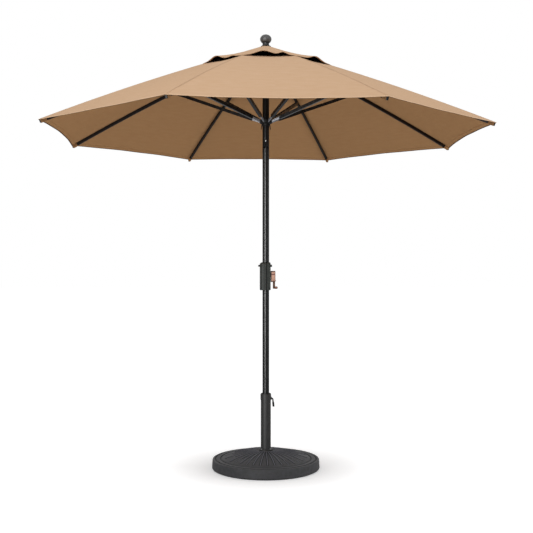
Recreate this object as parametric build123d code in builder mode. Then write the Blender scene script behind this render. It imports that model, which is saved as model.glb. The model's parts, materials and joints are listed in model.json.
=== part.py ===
"""Market umbrella with a crank, a push-button tilt and a round sunburst stand.

Millimetres, +Z up. The origin is on the floor under the middle of the stand, and the eight ribs
stand at 22.5 degrees and every 45 degrees from there, so that a panel faces the front (-Y).
"""

from build123d import *

import os
from math import acos, atan2, cos, degrees, hypot, radians, sin, sqrt, tan

os.makedirs("parts", exist_ok=True)

# ---- Driving dimensions ----

overall_height = 2456.0
clearance = 0.3  # running clearance between pieces that move past each other
pin_slack = 0.25  # play of a hinge pin in the piece that swings on it
pin_fit = 0.05  # play of a pin in the piece that holds it

# Stand
base_radius = 304.0
base_rim_z = 57.0
base_top_z = 103.0
base_seat_radius = 46.0
base_draft = 3.0
rim_fillet = 5.0
dome_step = 1.5  # from the rim up to the dome's edge
rim_band_width = 16.0
ring_groove_width = 5.0
ring_groove_depth = 3.0
ring_bead_width = 24.0
burst_height = 2.4
burst_root = 6.0  # depth of the ribs in the dome
burst_rib_width = 5.0
burst_count = 36
burst_start = 52.0
burst_long_end = 236.0
burst_short_end = 186.0
foot_height = 5.0
foot_stand_off = 3.0
foot_width = 30.0
foot_inset = 12.0
foot_lip = 6.0

stem_radius = 28.5
stem_wall = 3.0
stem_top_z = 418.0
flange_radius = 41.0
flange_height = 9.0
flange_screw_circle = 35.0
flange_screw_radius = 3.0
flange_screw_length = 28.0
flange_screw_head = 4.6
flange_screw_head_height = 2.6
flange_screw_key = 2.4
flange_edge = 3.0
collar_bottom_z = 388.0
collar_wall = 1.8
collar_lip = 4.0
collar_edge = 1.5
bushing_depth = 14.0
bushing_flange = 3.0
bushing_edge = 1.0
clamp_z = 396.0
clamp_boss_radius = 9.0
clamp_boss_reach = 33.0
clamp_rod_radius = 4.0
clamp_lever_x = 39.0
clamp_lever_drop = 46.0
clamp_lever_flare = 5.0
clamp_sleeve_radius = 5.6
clamp_sleeve_length = 26.0
clamp_sleeve_cap = 2.0
clamp_bend = 7.0

# Pole
pole_radius = 19.0
pole_wall = 1.8
pole_foot_gap = 1.0
tilt_drop = 550.0  # from the top of the pole to the tilt pin
knuckle_radius = 17.5
knuckle_tongue = 12.0
knuckle_plug = 34.0
tilt_pin_radius = 4.0
tilt_pin_inset = 1.2
button_radius = 4.0
button_height = 23.0  # above the tilt pin
tilt_range = 30.0
button_proud = 1.2
button_edge = 0.8
button_back = 6.0  # from the pole's axis to the button's inner end
spring_room_width = 12.0
spring_room_height = 24.0
spring_room_depth = 10.0

# Crank
housing_left = 34.0
housing_right = 27.0
housing_depth = 62.0
housing_corner = 21.0
housing_bottom_z = 1008.0
housing_shoulder_z = 1158.0
housing_top_z = 1166.0
housing_neck = 5.0  # wall left round the pole at the top of the shoulders
housing_seam = 0.8
housing_edge = 2.0
housing_wall = 6.0
housing_groove_width = 7.0
housing_groove_depth = 4.0
crank_z = 1097.0
crank_shaft_radius = 5.0
crank_bushing_radius = 13.5
spool_radius = 12.5
spool_half_width = 8.0
spool_groove = 3.0
spool_flange = 1.0
spool_flange_thickness = 2.0
housing_bolt_radius = 3.0
housing_bolt_y = 24.0
housing_bolt_inset = 12.0
housing_bolt_head = 5.0
housing_bolt_head_height = 8.0
housing_boss_radius = 6.5
housing_boss_reach = 7.0
crank_block_gap = 1.3
crank_block_width = 26.0
crank_block_depth = 26.0
crank_block_top = 20.0
crank_block_length = 63.0
crank_block_groove = 2.4
crank_block_groove_depth = 1.5
crank_block_cap = 6.0  # left in front of the shaft
crank_block_corner = 8.0
crank_block_edge = 4.0
crank_catch = 5.0
crank_arm_inset = 2.0
crank_arm_thickness = 12.0
crank_arm_depth = 12.0
crank_throw = 75.0
grip_radius = 7.0
grip_length = 12.0
grip_pin_radius = 3.0
grip_head = 2.0
grip_head_radius = 5.0
grip_edge = 1.5

# Hub, runner and finial
hinge_radius = 30.0  # distance of the rib and strut hinges from the pole's axis
hub_drop = 14.0  # from the top of the pole to the rib hinges
hub_lug = 8.0
hub_half_height = 13.0
hub_core_wall = 4.0
hub_top_height = 8.0
hub_cap_height = 8.0
hub_edge = 2.0
pin_inset = 1.5  # of each hinge pin from the ends of its lugs
pin_radius = 2.4
runner_bore_gap = 1.6
runner_core_wall = 3.0
runner_lug = 7.0
runner_above = 11.0
runner_below = 13.0
runner_skirt = 9.0
runner_edge = 2.0
runner_cone = 4.0
ear_length = 34.0
ear_width = 12.0
ear_thickness = 3.0
pulley_drop = 42.0
pulley_radius = 12.0
pulley_width = 8.0
pulley_groove = 3.0
finial_height = 76.0  # above the top of the pole
finial_radius = 32.5
finial_neck = 18.0
finial_base = 26.0
finial_stud = 7.0
finial_stud_length = 26.0

# Ribs and struts
rib_count = 8
rib_reach = 1234.0  # level distance from hinge to tip
rib_drop = 488.0
rib_bow = 16.0
rib_width = 12.0
rib_depth = 18.0
rib_wall = 1.5
rib_edge = 1.4
rib_tang_width = 8.0
rib_tang_radius = 6.0
rib_tube_start = 22.0
rib_tang_overlap = 12.0
rib_cap_nose = 12.0
rib_cap_plug = 22.0
rib_cap_edge = 3.0
strut_joint = 578.0  # along the rib from its hinge to the strut's hinge
strut_joint_below = 5.0
strut_wall = 1.6
strut_depth = 18.0
strut_side_play = 0.4
strut_tang_width = 6.0
strut_tang_radius = 5.5
strut_channel_start = 58.0
strut_plug = 26.0
strut_fork = 56.0
rivet_head_radius = 4.2
rivet_head = 1.2

# Canopy
cloth = 1.2
cloth_rise = 1.4  # from the top of the rib to the cloth along the rib's middle
tip_overhang = 6.0
hem_scallop = 13.0
vent_radius = 330.0
flap_radius = 380.0
flap_rise = 16.0  # from the top of the pole to the apex of the flap
flap_lap = 0.4  # from the cloth below to the flap at the flap's corners
flap_hole = 9.0
panel_gap = 0.1

# ---- Heights and geometry of the folding frame ----

pole_top_z = overall_height - finial_height
tilt_z = pole_top_z - tilt_drop
hub_hinge_z = pole_top_z - hub_drop
flap_apex_z = pole_top_z + flap_rise

rib_angle = 360.0 / rib_count
half_panel = rib_angle / 2
rib_azimuths = [half_panel + rib_angle * index for index in range(rib_count)]

rib_chord = hypot(rib_reach, rib_drop)
chord_slope = atan2(rib_drop, rib_reach)
bow_radius = (rib_chord**2 / 4 + rib_bow**2) / (2 * rib_bow)


def rib_point(along, above=0.0):
    """Point of the bowed rib in its upright plane: along the chord from the hinge, above its middle line."""
    across = along - rib_chord / 2
    rise = sqrt((bow_radius + above) ** 2 - across**2) - (bow_radius - rib_bow)
    level = hinge_radius + along * cos(chord_slope) + rise * sin(chord_slope)
    height = hub_hinge_z - along * sin(chord_slope) + rise * cos(chord_slope)
    return (level, height)


def cloth_height(radius, above):
    """Height of a layer of cloth over a rib, at a level distance from the pole's axis."""
    along = (radius - hinge_radius) / cos(chord_slope)
    for _ in range(20):
        along += (radius - rib_point(along, above)[0]) / cos(chord_slope)
    return rib_point(along, above)[1]


cloth_below = rib_depth / 2 + cloth_rise
cloth_above = cloth_below + cloth
flap_corner_z = cloth_height(flap_radius, cloth_above) + flap_lap + cloth
flap_slope = (flap_apex_z - flap_corner_z) / flap_radius


def flap_height(radius, below=0.0):
    """Height of the vent flap over a rib, at a level distance from the pole's axis."""
    return flap_apex_z - flap_slope * radius - below


joint_r, joint_z = rib_point(strut_joint, -strut_joint_below)
strut_length = hypot(joint_r - hinge_radius, hub_hinge_z - joint_z)
strut_slope = atan2(hub_hinge_z - joint_z, joint_r - hinge_radius)
runner_hinge_z = 2 * joint_z - hub_hinge_z

stem_bore = stem_radius - stem_wall
pole_bore = pole_radius - pole_wall
pole_foot_z = base_top_z + flange_height + pole_foot_gap
pin_hole = pin_radius + pin_slack
pin_seat = pin_radius + pin_fit
hub_radius = hinge_radius + hub_lug
hub_core = pole_radius + pin_fit + hub_core_wall
runner_bore = pole_radius + runner_bore_gap
runner_core = runner_bore + runner_core_wall
runner_radius = hinge_radius + runner_lug
collar_bore = stem_radius + pin_fit
collar_radius = collar_bore + collar_wall
collar_top_z = stem_top_z + collar_lip


def polar(radius, azimuth):
    """Point of the plan at a distance from the pole's axis and an angle in degrees."""
    return (radius * cos(radians(azimuth)), radius * sin(radians(azimuth)))


def save(piece, label):
    """Write one finished piece under its own name."""
    piece.label = label
    export_step(piece, f"parts/{label}.step")


def save_ring(piece, label):
    """Write a copy of a piece modelled along +X for every rib of the frame."""
    for number, azimuth in enumerate(rib_azimuths, start=1):
        save(piece.rotate(Axis.Z, azimuth), f"{label}_{number}")


# ---- Stand ----

band_inner = base_radius - base_draft - rim_band_width
bead_outer = band_inner - ring_groove_width
bead_inner = bead_outer - ring_bead_width
dome_outer = bead_inner - ring_groove_width
dome_edge_z = base_rim_z + dome_step
foot_outer = base_radius - foot_inset
foot_inner = foot_outer - foot_width
dome_mid_r = (base_seat_radius + dome_outer) / 2
dome_fall = base_top_z - dome_edge_z
dome_centre_z = base_top_z - (dome_outer**2 - base_seat_radius**2 + dome_fall**2) / (2 * dome_fall)
dome_radius = hypot(base_seat_radius, base_top_z - dome_centre_z)
dome_mid_z = dome_centre_z + sqrt(dome_radius**2 - dome_mid_r**2)


def dome_profile(lift):
    """Closed outline of the spherical top between the seat and the inner groove."""
    top = (base_seat_radius, base_top_z + lift)
    middle = (dome_mid_r, dome_mid_z + lift)
    edge = (dome_outer, dome_edge_z + lift)
    ThreePointArc(top, middle, edge)
    Polyline(
        edge,
        (dome_outer, dome_edge_z - burst_root),
        (base_seat_radius, base_top_z - 2 * burst_root),
        top,
    )


with BuildPart() as sunburst:
    with BuildSketch(Plane.XZ):
        with BuildLine():
            dome_profile(burst_height)
        make_face()
    revolve(axis=Axis.Z)
    with BuildSketch(Plane.XY):
        for index in range(burst_count):
            end = burst_long_end if index % 2 else burst_short_end
            middle = (burst_start + end) / 2
            with PolarLocations(middle, 1, start_angle=360 / burst_count * index):
                Rectangle(end - burst_start, burst_rib_width)
    extrude(amount=base_top_z + burst_height + 5, mode=Mode.INTERSECT)

with BuildPart() as base_weight:
    with BuildSketch(Plane.XZ):
        with BuildLine():
            Polyline(
                (dome_outer, dome_edge_z),
                (dome_outer, dome_edge_z - ring_groove_depth),
                (bead_inner, dome_edge_z - ring_groove_depth),
                (bead_inner, dome_edge_z),
                (bead_outer, dome_edge_z),
                (bead_outer, base_rim_z - ring_groove_depth),
                (band_inner, base_rim_z - ring_groove_depth),
                (band_inner, base_rim_z),
                (base_radius - base_draft, base_rim_z),
                (base_radius, foot_stand_off + foot_lip),
                (base_radius - base_draft, foot_stand_off),
                (foot_outer, foot_stand_off),
                (foot_outer, foot_height),
                (foot_inner, foot_height),
                (foot_inner, foot_stand_off),
                (0, foot_stand_off),
                (0, base_top_z),
                (base_seat_radius, base_top_z),
            )
            ThreePointArc(
                (base_seat_radius, base_top_z), (dome_mid_r, dome_mid_z), (dome_outer, dome_edge_z)
            )
        make_face()
    revolve(axis=Axis.Z)
    outer_rim = (
        base_weight.edges()
        .filter_by(GeomType.CIRCLE)
        .filter_by(lambda edge: abs(edge.radius - (base_radius - base_draft)) < 0.01)
    )
    fillet(outer_rim, radius=rim_fillet)
    add(sunburst.part)
    with Locations((0, 0, base_top_z)):
        with PolarLocations(flange_screw_circle, 4, start_angle=45):
            Hole(radius=flange_screw_radius + pin_fit, depth=flange_screw_length - flange_height + 3)
save(base_weight.part, "base_weight")

with BuildPart() as base_foot_ring:
    with BuildSketch():
        Circle(foot_outer - pin_fit)
        Circle(foot_inner + pin_fit, mode=Mode.SUBTRACT)
    extrude(amount=foot_height)
save(base_foot_ring.part, "base_foot_ring")

with BuildPart() as stem_tube:
    with BuildSketch(Plane.XY.offset(base_top_z)):
        Circle(flange_radius)
    extrude(amount=flange_height)
    chamfer(stem_tube.edges().group_by(Axis.Z)[-1], length=flange_edge)
    with BuildSketch(Plane.XY.offset(base_top_z + flange_height)):
        Circle(stem_radius)
        Circle(stem_bore, mode=Mode.SUBTRACT)
    extrude(amount=stem_top_z - base_top_z - flange_height)
    with BuildSketch(Plane.YZ.offset(stem_bore + stem_wall / 2)):
        with Locations((0, clamp_z)):
            Circle(clamp_boss_radius)
    extrude(amount=clamp_boss_reach - stem_bore - stem_wall / 2)
    with BuildSketch(Plane.YZ):
        with Locations((0, clamp_z)):
            Circle(clamp_rod_radius + pin_slack)
    extrude(amount=clamp_boss_reach, mode=Mode.SUBTRACT)
    with Locations((0, 0, base_top_z + flange_height)):
        with PolarLocations(flange_screw_circle, 4, start_angle=45):
            Hole(radius=flange_screw_radius + pin_fit, depth=flange_height)
save(stem_tube.part, "stem_tube")

screw_seat_z = base_top_z + flange_height
with BuildPart() as flange_screws:
    with BuildSketch(Plane.XY.offset(screw_seat_z - flange_screw_length)):
        with PolarLocations(flange_screw_circle, 4, start_angle=45):
            Circle(flange_screw_radius)
    extrude(amount=flange_screw_length)
    with BuildSketch(Plane.XY.offset(screw_seat_z)):
        with PolarLocations(flange_screw_circle, 4, start_angle=45):
            Circle(flange_screw_head)
            RegularPolygon(flange_screw_key, 6, mode=Mode.SUBTRACT)
    extrude(amount=flange_screw_head_height)
save(flange_screws.part, "flange_screws")

with BuildPart() as stem_collar:
    with BuildSketch(Plane.XZ):
        with BuildLine():
            Polyline(
                (collar_bore, collar_bottom_z),
                (collar_radius, collar_bottom_z),
                (collar_radius, collar_top_z - collar_edge),
                (collar_radius - collar_edge, collar_top_z),
                (stem_bore, collar_top_z),
                (stem_bore, stem_top_z),
                (collar_bore, stem_top_z),
                close=True,
            )
        make_face()
    revolve(axis=Axis.Z)
    with BuildSketch(Plane.YZ):
        with Locations((0, clamp_z)):
            Circle(clamp_boss_radius + clearance)
        with Locations((0, (clamp_z + collar_bottom_z) / 2)):
            Rectangle(2 * (clamp_boss_radius + clearance), clamp_z - collar_bottom_z)
    extrude(amount=2 * collar_radius, mode=Mode.SUBTRACT)
save(stem_collar.part, "stem_collar")

bushing_radius = stem_bore - clearance
bushing_bore = pole_radius + clearance
bushing_rim = collar_radius - 2 * collar_edge
with BuildPart() as pole_bushing:
    with BuildSketch(Plane.XZ):
        with BuildLine():
            Polyline(
                (bushing_bore, stem_top_z - bushing_depth),
                (bushing_radius, stem_top_z - bushing_depth),
                (bushing_radius, collar_top_z),
                (bushing_rim, collar_top_z),
                (bushing_rim, collar_top_z + bushing_flange - bushing_edge),
                (bushing_rim - bushing_edge, collar_top_z + bushing_flange),
                (bushing_bore, collar_top_z + bushing_flange),
                close=True,
            )
        make_face()
    revolve(axis=Axis.Z)
save(pole_bushing.part, "pole_bushing")

lever_end = (clamp_lever_x + clamp_lever_flare, clamp_z - clamp_lever_drop)
lever_tilt = degrees(atan2(clamp_lever_flare, clamp_lever_drop))
with BuildPart() as clamp_screw:
    with BuildLine(Plane.XZ) as lever_path:
        FilletPolyline(
            (pole_radius + clearance, clamp_z),
            (clamp_lever_x, clamp_z),
            lever_end,
            radius=clamp_bend,
        )
    with BuildSketch(Plane.YZ.offset(pole_radius + clearance)):
        with Locations((0, clamp_z)):
            Circle(clamp_rod_radius)
    sweep(path=lever_path.line)
    sleeve_plane = Plane(
        origin=(lever_end[0], 0, lever_end[1]),
        z_dir=(-sin(radians(lever_tilt)), 0, cos(radians(lever_tilt))),
    )
    with BuildSketch(sleeve_plane.offset(-clamp_sleeve_cap)):
        Circle(clamp_sleeve_radius)
    extrude(amount=clamp_sleeve_length)
    fillet(
        clamp_screw.edges().filter_by(GeomType.CIRCLE).sort_by(Axis.Z)[0], radius=clamp_sleeve_cap
    )
save(clamp_screw.part, "clamp_screw")

# ---- Lower pole and crank ----

knuckle_gap = knuckle_radius + clearance
lower_pole_top = tilt_z - knuckle_gap
with BuildPart() as lower_pole:
    with BuildSketch(Plane.XY.offset(pole_foot_z)):
        Circle(pole_radius)
        Circle(pole_bore, mode=Mode.SUBTRACT)
    extrude(amount=lower_pole_top - pole_foot_z)
    with BuildSketch(Plane.YZ):
        with Locations((0, crank_z)):
            Circle(crank_bushing_radius + pin_fit)
    extrude(amount=pole_radius + 1, mode=Mode.SUBTRACT)
    with BuildSketch(Plane.YZ):
        with Locations((0, crank_z)):
            Circle(crank_shaft_radius + clearance)
    extrude(amount=-pole_radius - 1, mode=Mode.SUBTRACT)
save(lower_pole.part, "lower_pole")

housing_width = housing_left + housing_right
housing_middle = (housing_right - housing_left) / 2
lower_bolt_z = housing_bottom_z + housing_bolt_inset
upper_bolt_z = housing_shoulder_z - housing_bolt_inset


def bolt_circles(level, radius):
    """A pair of circles round the bolts of one level."""
    with Locations((-housing_bolt_y, level), (housing_bolt_y, level)):
        Circle(radius)


with BuildPart() as housing:
    with BuildSketch(Plane.XY.offset(housing_bottom_z)):
        with Locations((housing_middle, 0)):
            RectangleRounded(housing_width, housing_depth, housing_corner)
    extrude(amount=housing_shoulder_z - housing_bottom_z)
    chamfer(housing.edges().group_by(Axis.Z)[0], length=housing_edge)
    neck_width = 2 * (pole_radius + housing_neck)
    with BuildSketch(Plane.XY.offset(housing_shoulder_z)):
        with Locations((housing_middle, 0)):
            RectangleRounded(housing_width, housing_depth, housing_corner)
    with BuildSketch(Plane.XY.offset(housing_top_z)):
        RectangleRounded(neck_width, neck_width, neck_width * housing_corner / housing_width)
    loft()
    with BuildSketch(Plane.YZ.offset(-housing_left)):
        bolt_circles(upper_bolt_z, housing_boss_radius)
    extrude(amount=housing_width + housing_boss_reach)
    with BuildSketch(Plane.XY.offset(housing_bottom_z)):
        Circle(pole_radius + pin_fit)
    extrude(amount=housing_top_z - housing_bottom_z, mode=Mode.SUBTRACT)
    with BuildSketch(Plane.YZ):
        with Locations((0, crank_z)):
            Circle(crank_bushing_radius + pin_fit)
    extrude(amount=housing_right + 1, mode=Mode.SUBTRACT)
    with BuildSketch(Plane.YZ):
        with Locations((0, crank_z)):
            Circle(crank_shaft_radius + clearance)
    extrude(amount=-(housing_left - housing_wall), mode=Mode.SUBTRACT)
    with BuildSketch(Plane.YZ.offset(-housing_left - 1)):
        bolt_circles(lower_bolt_z, housing_bolt_radius + pin_fit)
        bolt_circles(upper_bolt_z, housing_bolt_radius + pin_fit)
    extrude(amount=housing_width + housing_boss_reach + 2, mode=Mode.SUBTRACT)


def housing_half(side):
    """One shell of the crank housing, with its edge eased along the seam.

    The right shell is cut back beside the seam, which leaves a groove down the front and the back.
    """
    with BuildPart() as half:
        add(housing.part)
        split(bisect_by=Plane.YZ, keep=Keep.TOP if side > 0 else Keep.BOTTOM)
        upright = [
            edge
            for edge in half.edges().filter_by(Axis.Z)
            if abs(edge.center().X) < 0.01 and abs(edge.center().Y) > pole_radius + 2
        ]
        chamfer(upright, length=housing_seam)
        if side > 0:
            groove_y = housing_depth / 2 - housing_groove_depth / 2
            with BuildSketch(Plane.XY.offset(housing_bottom_z - 1)) as groove:
                with Locations(
                    (housing_groove_width / 2, groove_y), (housing_groove_width / 2, -groove_y)
                ):
                    Rectangle(housing_groove_width, housing_groove_depth)
            extrude(groove.sketch, amount=housing_top_z - housing_bottom_z, mode=Mode.SUBTRACT)
    return half.part


save(housing_half(-1), "crank_housing_left")
save(housing_half(1), "crank_housing_right")

with BuildPart() as housing_bolts:
    with BuildSketch(Plane.YZ.offset(-housing_left + 3)):
        bolt_circles(lower_bolt_z, housing_bolt_radius)
    extrude(amount=housing_width - 6)
    with BuildSketch(Plane.YZ.offset(-housing_left)):
        bolt_circles(upper_bolt_z, housing_bolt_radius)
    extrude(amount=housing_width + housing_boss_reach - 1)
    with BuildSketch(Plane.YZ.offset(-housing_left)):
        bolt_circles(upper_bolt_z, housing_bolt_head)
    extrude(amount=-housing_bolt_head_height)
    chamfer(housing_bolts.faces().group_by(Axis.X)[0].edges(), length=1.2)
save(housing_bolts.part, "housing_bolts")

spool_end = spool_half_width + spool_flange_thickness
spool_start = -housing_left + housing_wall + 2
crank_block_x = housing_right + crank_block_gap
shaft_end_x = crank_block_x + crank_block_width - crank_block_cap
with BuildPart() as cord_spool:
    with BuildSketch(Plane.XZ):
        with BuildLine():
            Polyline(
                (spool_start, 0),
                (spool_start, crank_shaft_radius),
                (-spool_end, crank_shaft_radius),
                (-spool_end, spool_radius + spool_flange),
                (-spool_half_width, spool_radius + spool_flange),
                (-spool_half_width, spool_radius - spool_groove),
                (spool_half_width, spool_radius - spool_groove),
                (spool_half_width, spool_radius + spool_flange),
                (spool_end, spool_radius + spool_flange),
                (spool_end, crank_shaft_radius),
                (shaft_end_x, crank_shaft_radius),
                (shaft_end_x, 0),
                close=True,
            )
        make_face()
    revolve(axis=Axis.X)
save(cord_spool.part.translate((0, 0, crank_z)), "cord_spool")

with BuildPart() as crank_bushing:
    with BuildSketch(Plane.YZ.offset(spool_end + 1)):
        with Locations((0, crank_z)):
            Circle(crank_bushing_radius)
            Circle(crank_shaft_radius + clearance, mode=Mode.SUBTRACT)
    extrude(amount=housing_right + 1 - spool_end - 1)
    with BuildSketch(Plane.XY.offset(crank_z - 2 * crank_bushing_radius)):
        Circle(pole_bore)
    extrude(amount=4 * crank_bushing_radius, mode=Mode.SUBTRACT)
save(crank_bushing.part, "crank_bushing")

block_top_z = crank_z + crank_block_top
block_mid_x = crank_block_x + crank_block_width / 2
block_end_x = crank_block_x + crank_block_width
block_foot_z = block_top_z - crank_block_length
arm_end_x = block_end_x - crank_arm_inset
grip_z = crank_z - crank_throw
with BuildPart() as crank_handle:
    with BuildSketch(Plane.YZ.offset(crank_block_x)):
        with Locations((0, block_top_z - crank_block_length / 2)):
            RectangleRounded(crank_block_depth, crank_block_length, crank_block_corner)
    extrude(amount=crank_block_width)
    fillet(crank_handle.faces().sort_by(Axis.X)[-1].edges(), radius=crank_block_edge)
    with BuildSketch(Plane.XY.offset(crank_z - crank_block_groove / 2)):
        with Locations((block_mid_x, 0)):
            Rectangle(crank_block_width + 2, crank_block_depth + 2)
            Rectangle(
                crank_block_width - 2 * crank_block_groove_depth,
                crank_block_depth - 2 * crank_block_groove_depth,
                mode=Mode.SUBTRACT,
            )
    extrude(amount=crank_block_groove, mode=Mode.SUBTRACT)
    with BuildSketch(Plane.XZ):
        with BuildLine():
            Polyline(
                (block_end_x - crank_catch, block_foot_z + 1),
                (block_end_x + crank_catch - 1, block_foot_z + crank_catch + 1),
                (block_end_x + crank_catch - 1, block_foot_z + crank_catch + 4),
                (block_end_x - crank_catch, block_foot_z + crank_catch + 4),
                close=True,
            )
        make_face()
    extrude(amount=crank_catch, both=True)
    with BuildSketch(Plane.YZ.offset(arm_end_x - crank_arm_thickness)):
        with Locations((0, (crank_z + grip_z) / 2)):
            SlotOverall(crank_throw + crank_arm_depth, crank_arm_depth, rotation=90)
    extrude(amount=crank_arm_thickness)
    with BuildSketch(Plane.YZ.offset(arm_end_x)):
        with Locations((0, grip_z)):
            Circle(grip_pin_radius)
    extrude(amount=grip_length + 2 * clearance)
    with BuildSketch(Plane.YZ.offset(arm_end_x + grip_length + 2 * clearance)):
        with Locations((0, grip_z)):
            Circle(grip_head_radius)
    extrude(amount=grip_head)
    with BuildSketch(Plane.YZ.offset(crank_block_x)):
        with Locations((0, crank_z)):
            Circle(crank_shaft_radius + pin_fit)
    extrude(amount=crank_block_width - crank_block_cap, mode=Mode.SUBTRACT)
save(crank_handle.part, "crank_handle")

with BuildPart() as crank_grip:
    with BuildSketch(Plane.YZ.offset(arm_end_x + clearance)):
        with Locations((0, grip_z)):
            Circle(grip_radius)
            Circle(grip_pin_radius + clearance, mode=Mode.SUBTRACT)
    extrude(amount=grip_length)
    fillet(
        crank_grip.edges()
        .filter_by(GeomType.CIRCLE)
        .filter_by(lambda edge: abs(edge.radius - grip_radius) < 0.01),
        radius=grip_edge,
    )
save(crank_grip.part, "crank_grip")

# ---- Tilt knuckle and upper pole ----

upper_pole_foot = tilt_z + knuckle_radius
plug_radius = pole_bore - pin_fit
tongue_slot = knuckle_tongue + 2 * clearance


def round_about_pin(reach):
    """Side outline of half the knuckle: rounded about the tilt pin and square towards its pole."""
    with Locations((0, tilt_z)):
        Circle(knuckle_radius)
    with Locations((0, tilt_z + reach / 2)):
        Rectangle(2 * knuckle_radius, abs(reach))


with BuildPart() as tilt_socket:
    with BuildSketch(Plane.YZ):
        round_about_pin(-knuckle_gap)
    extrude(amount=knuckle_tongue / 2, both=True)
    with BuildSketch(Plane.XY.offset(lower_pole_top - knuckle_plug)):
        Circle(plug_radius)
    extrude(amount=knuckle_plug)
    with BuildSketch(Plane.XY.offset(lower_pole_top - knuckle_plug)):
        Circle(pole_radius)
    extrude(amount=2 * knuckle_plug + 2 * knuckle_radius, mode=Mode.INTERSECT)
    with BuildSketch(Plane.YZ):
        with Locations((0, tilt_z)):
            Circle(tilt_pin_radius + pin_slack)
    extrude(amount=pole_radius, both=True, mode=Mode.SUBTRACT)
save(tilt_socket.part, "tilt_socket")

with BuildPart() as tilt_pin:
    with BuildSketch(Plane.YZ):
        with Locations((0, tilt_z)):
            Circle(tilt_pin_radius)
    extrude(amount=pole_radius - tilt_pin_inset, both=True)
save(tilt_pin.part, "tilt_pin")

button_z = tilt_z + button_height
button_hole = button_radius + clearance
with BuildPart() as tilt_fork:
    with BuildSketch(Plane.YZ):
        round_about_pin(knuckle_radius)
    extrude(amount=pole_radius, both=True)
    with BuildSketch(Plane.XY.offset(upper_pole_foot)):
        Circle(plug_radius)
    extrude(amount=knuckle_plug)
    with BuildSketch(Plane.XY.offset(tilt_z - knuckle_radius)):
        Circle(pole_radius)
    extrude(amount=2 * knuckle_radius + knuckle_plug, mode=Mode.INTERSECT)
    with BuildSketch(Plane.YZ):
        with Locations((0, tilt_z)):
            Circle(knuckle_gap)
        for turn in (0, tilt_range):
            middle = (-sin(radians(turn)) * knuckle_gap / 2, tilt_z - cos(radians(turn)) * knuckle_gap / 2)
            with Locations(middle):
                Rectangle(2 * knuckle_gap, knuckle_gap, rotation=-turn)
    extrude(amount=tongue_slot / 2, both=True, mode=Mode.SUBTRACT)
    with BuildSketch(Plane.YZ):
        with Locations((0, tilt_z)):
            Circle(tilt_pin_radius + pin_fit)
    extrude(amount=pole_radius, both=True, mode=Mode.SUBTRACT)
    with BuildSketch(Plane.XZ):
        with Locations((0, button_z)):
            Circle(button_hole)
    extrude(amount=pole_radius, mode=Mode.SUBTRACT)
    with BuildSketch(Plane.XZ.offset(button_back + 2 - spring_room_depth)):
        with Locations((0, button_z + button_radius)):
            Rectangle(spring_room_width, spring_room_height)
    extrude(amount=spring_room_depth, mode=Mode.SUBTRACT)
save(tilt_fork.part, "tilt_fork")

with BuildPart() as tilt_button:
    with BuildSketch(Plane.XZ.offset(button_back)):
        with Locations((0, button_z)):
            Circle(button_radius)
    extrude(amount=pole_radius + button_proud - button_back)
    fillet(tilt_button.faces().sort_by(Axis.Y)[0].edges(), radius=button_edge)
save(tilt_button.part, "tilt_button")

pulley_z = hub_hinge_z - pulley_drop
with BuildPart() as upper_pole:
    with BuildSketch(Plane.XY.offset(upper_pole_foot)):
        Circle(pole_radius)
        Circle(pole_bore, mode=Mode.SUBTRACT)
    extrude(amount=pole_top_z - upper_pole_foot)
    with BuildSketch(Plane.XZ):
        with Locations((0, button_z)):
            Circle(button_hole)
    extrude(amount=pole_radius + 1, mode=Mode.SUBTRACT)
    with BuildSketch(Plane.YZ):
        with Locations((0, pulley_z)):
            Circle(pin_radius + pin_fit)
    extrude(amount=pole_radius + 1, both=True, mode=Mode.SUBTRACT)
save(upper_pole.part, "upper_pole")

with BuildPart() as cord_pulley:
    with BuildSketch(Plane.XZ):
        with BuildLine():
            Polyline(
                (-pulley_width / 2, pin_hole),
                (-pulley_width / 2, pulley_radius),
                (0, pulley_radius - pulley_groove),
                (pulley_width / 2, pulley_radius),
                (pulley_width / 2, pin_hole),
                close=True,
            )
        make_face()
    revolve(axis=Axis.X)
save(cord_pulley.part.translate((0, 0, pulley_z)), "cord_pulley")

with BuildPart() as pulley_pin:
    with BuildSketch(Plane.YZ):
        with Locations((0, pulley_z)):
            Circle(pin_radius)
    extrude(amount=pole_radius, both=True)
save(pulley_pin.part, "pulley_pin")

# ---- Hub, runner and finial ----


def hinge_pins(level, radius, length, mode=Mode.ADD):
    """Adds or cuts a ring of hinge pins, each square to its rib."""
    for azimuth in rib_azimuths:
        across = Vector(-sin(radians(azimuth)), cos(radians(azimuth)), 0)
        centre = Vector(*polar(hinge_radius, azimuth), level)
        with BuildSketch(Plane(origin=centre, z_dir=across)) as pin:
            Circle(radius)
        extrude(pin.sketch, amount=length / 2, both=True, mode=mode)


hub_slot = rib_tang_width + 2 * clearance
runner_slot = strut_tang_width + 2 * clearance
lug_edge = 2 * hinge_radius * tan(radians(half_panel))
hub_pin_length = lug_edge - 2 * pin_inset


def radial_slots(bottom, height, inner, width):
    """Cuts the slots that the ribs or struts swing in."""
    with BuildSketch(Plane.XY.offset(bottom)) as slots:
        with PolarLocations(inner + 40, rib_count, start_angle=half_panel):
            Rectangle(80, width)
    extrude(slots.sketch, amount=height, mode=Mode.SUBTRACT)


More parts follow.
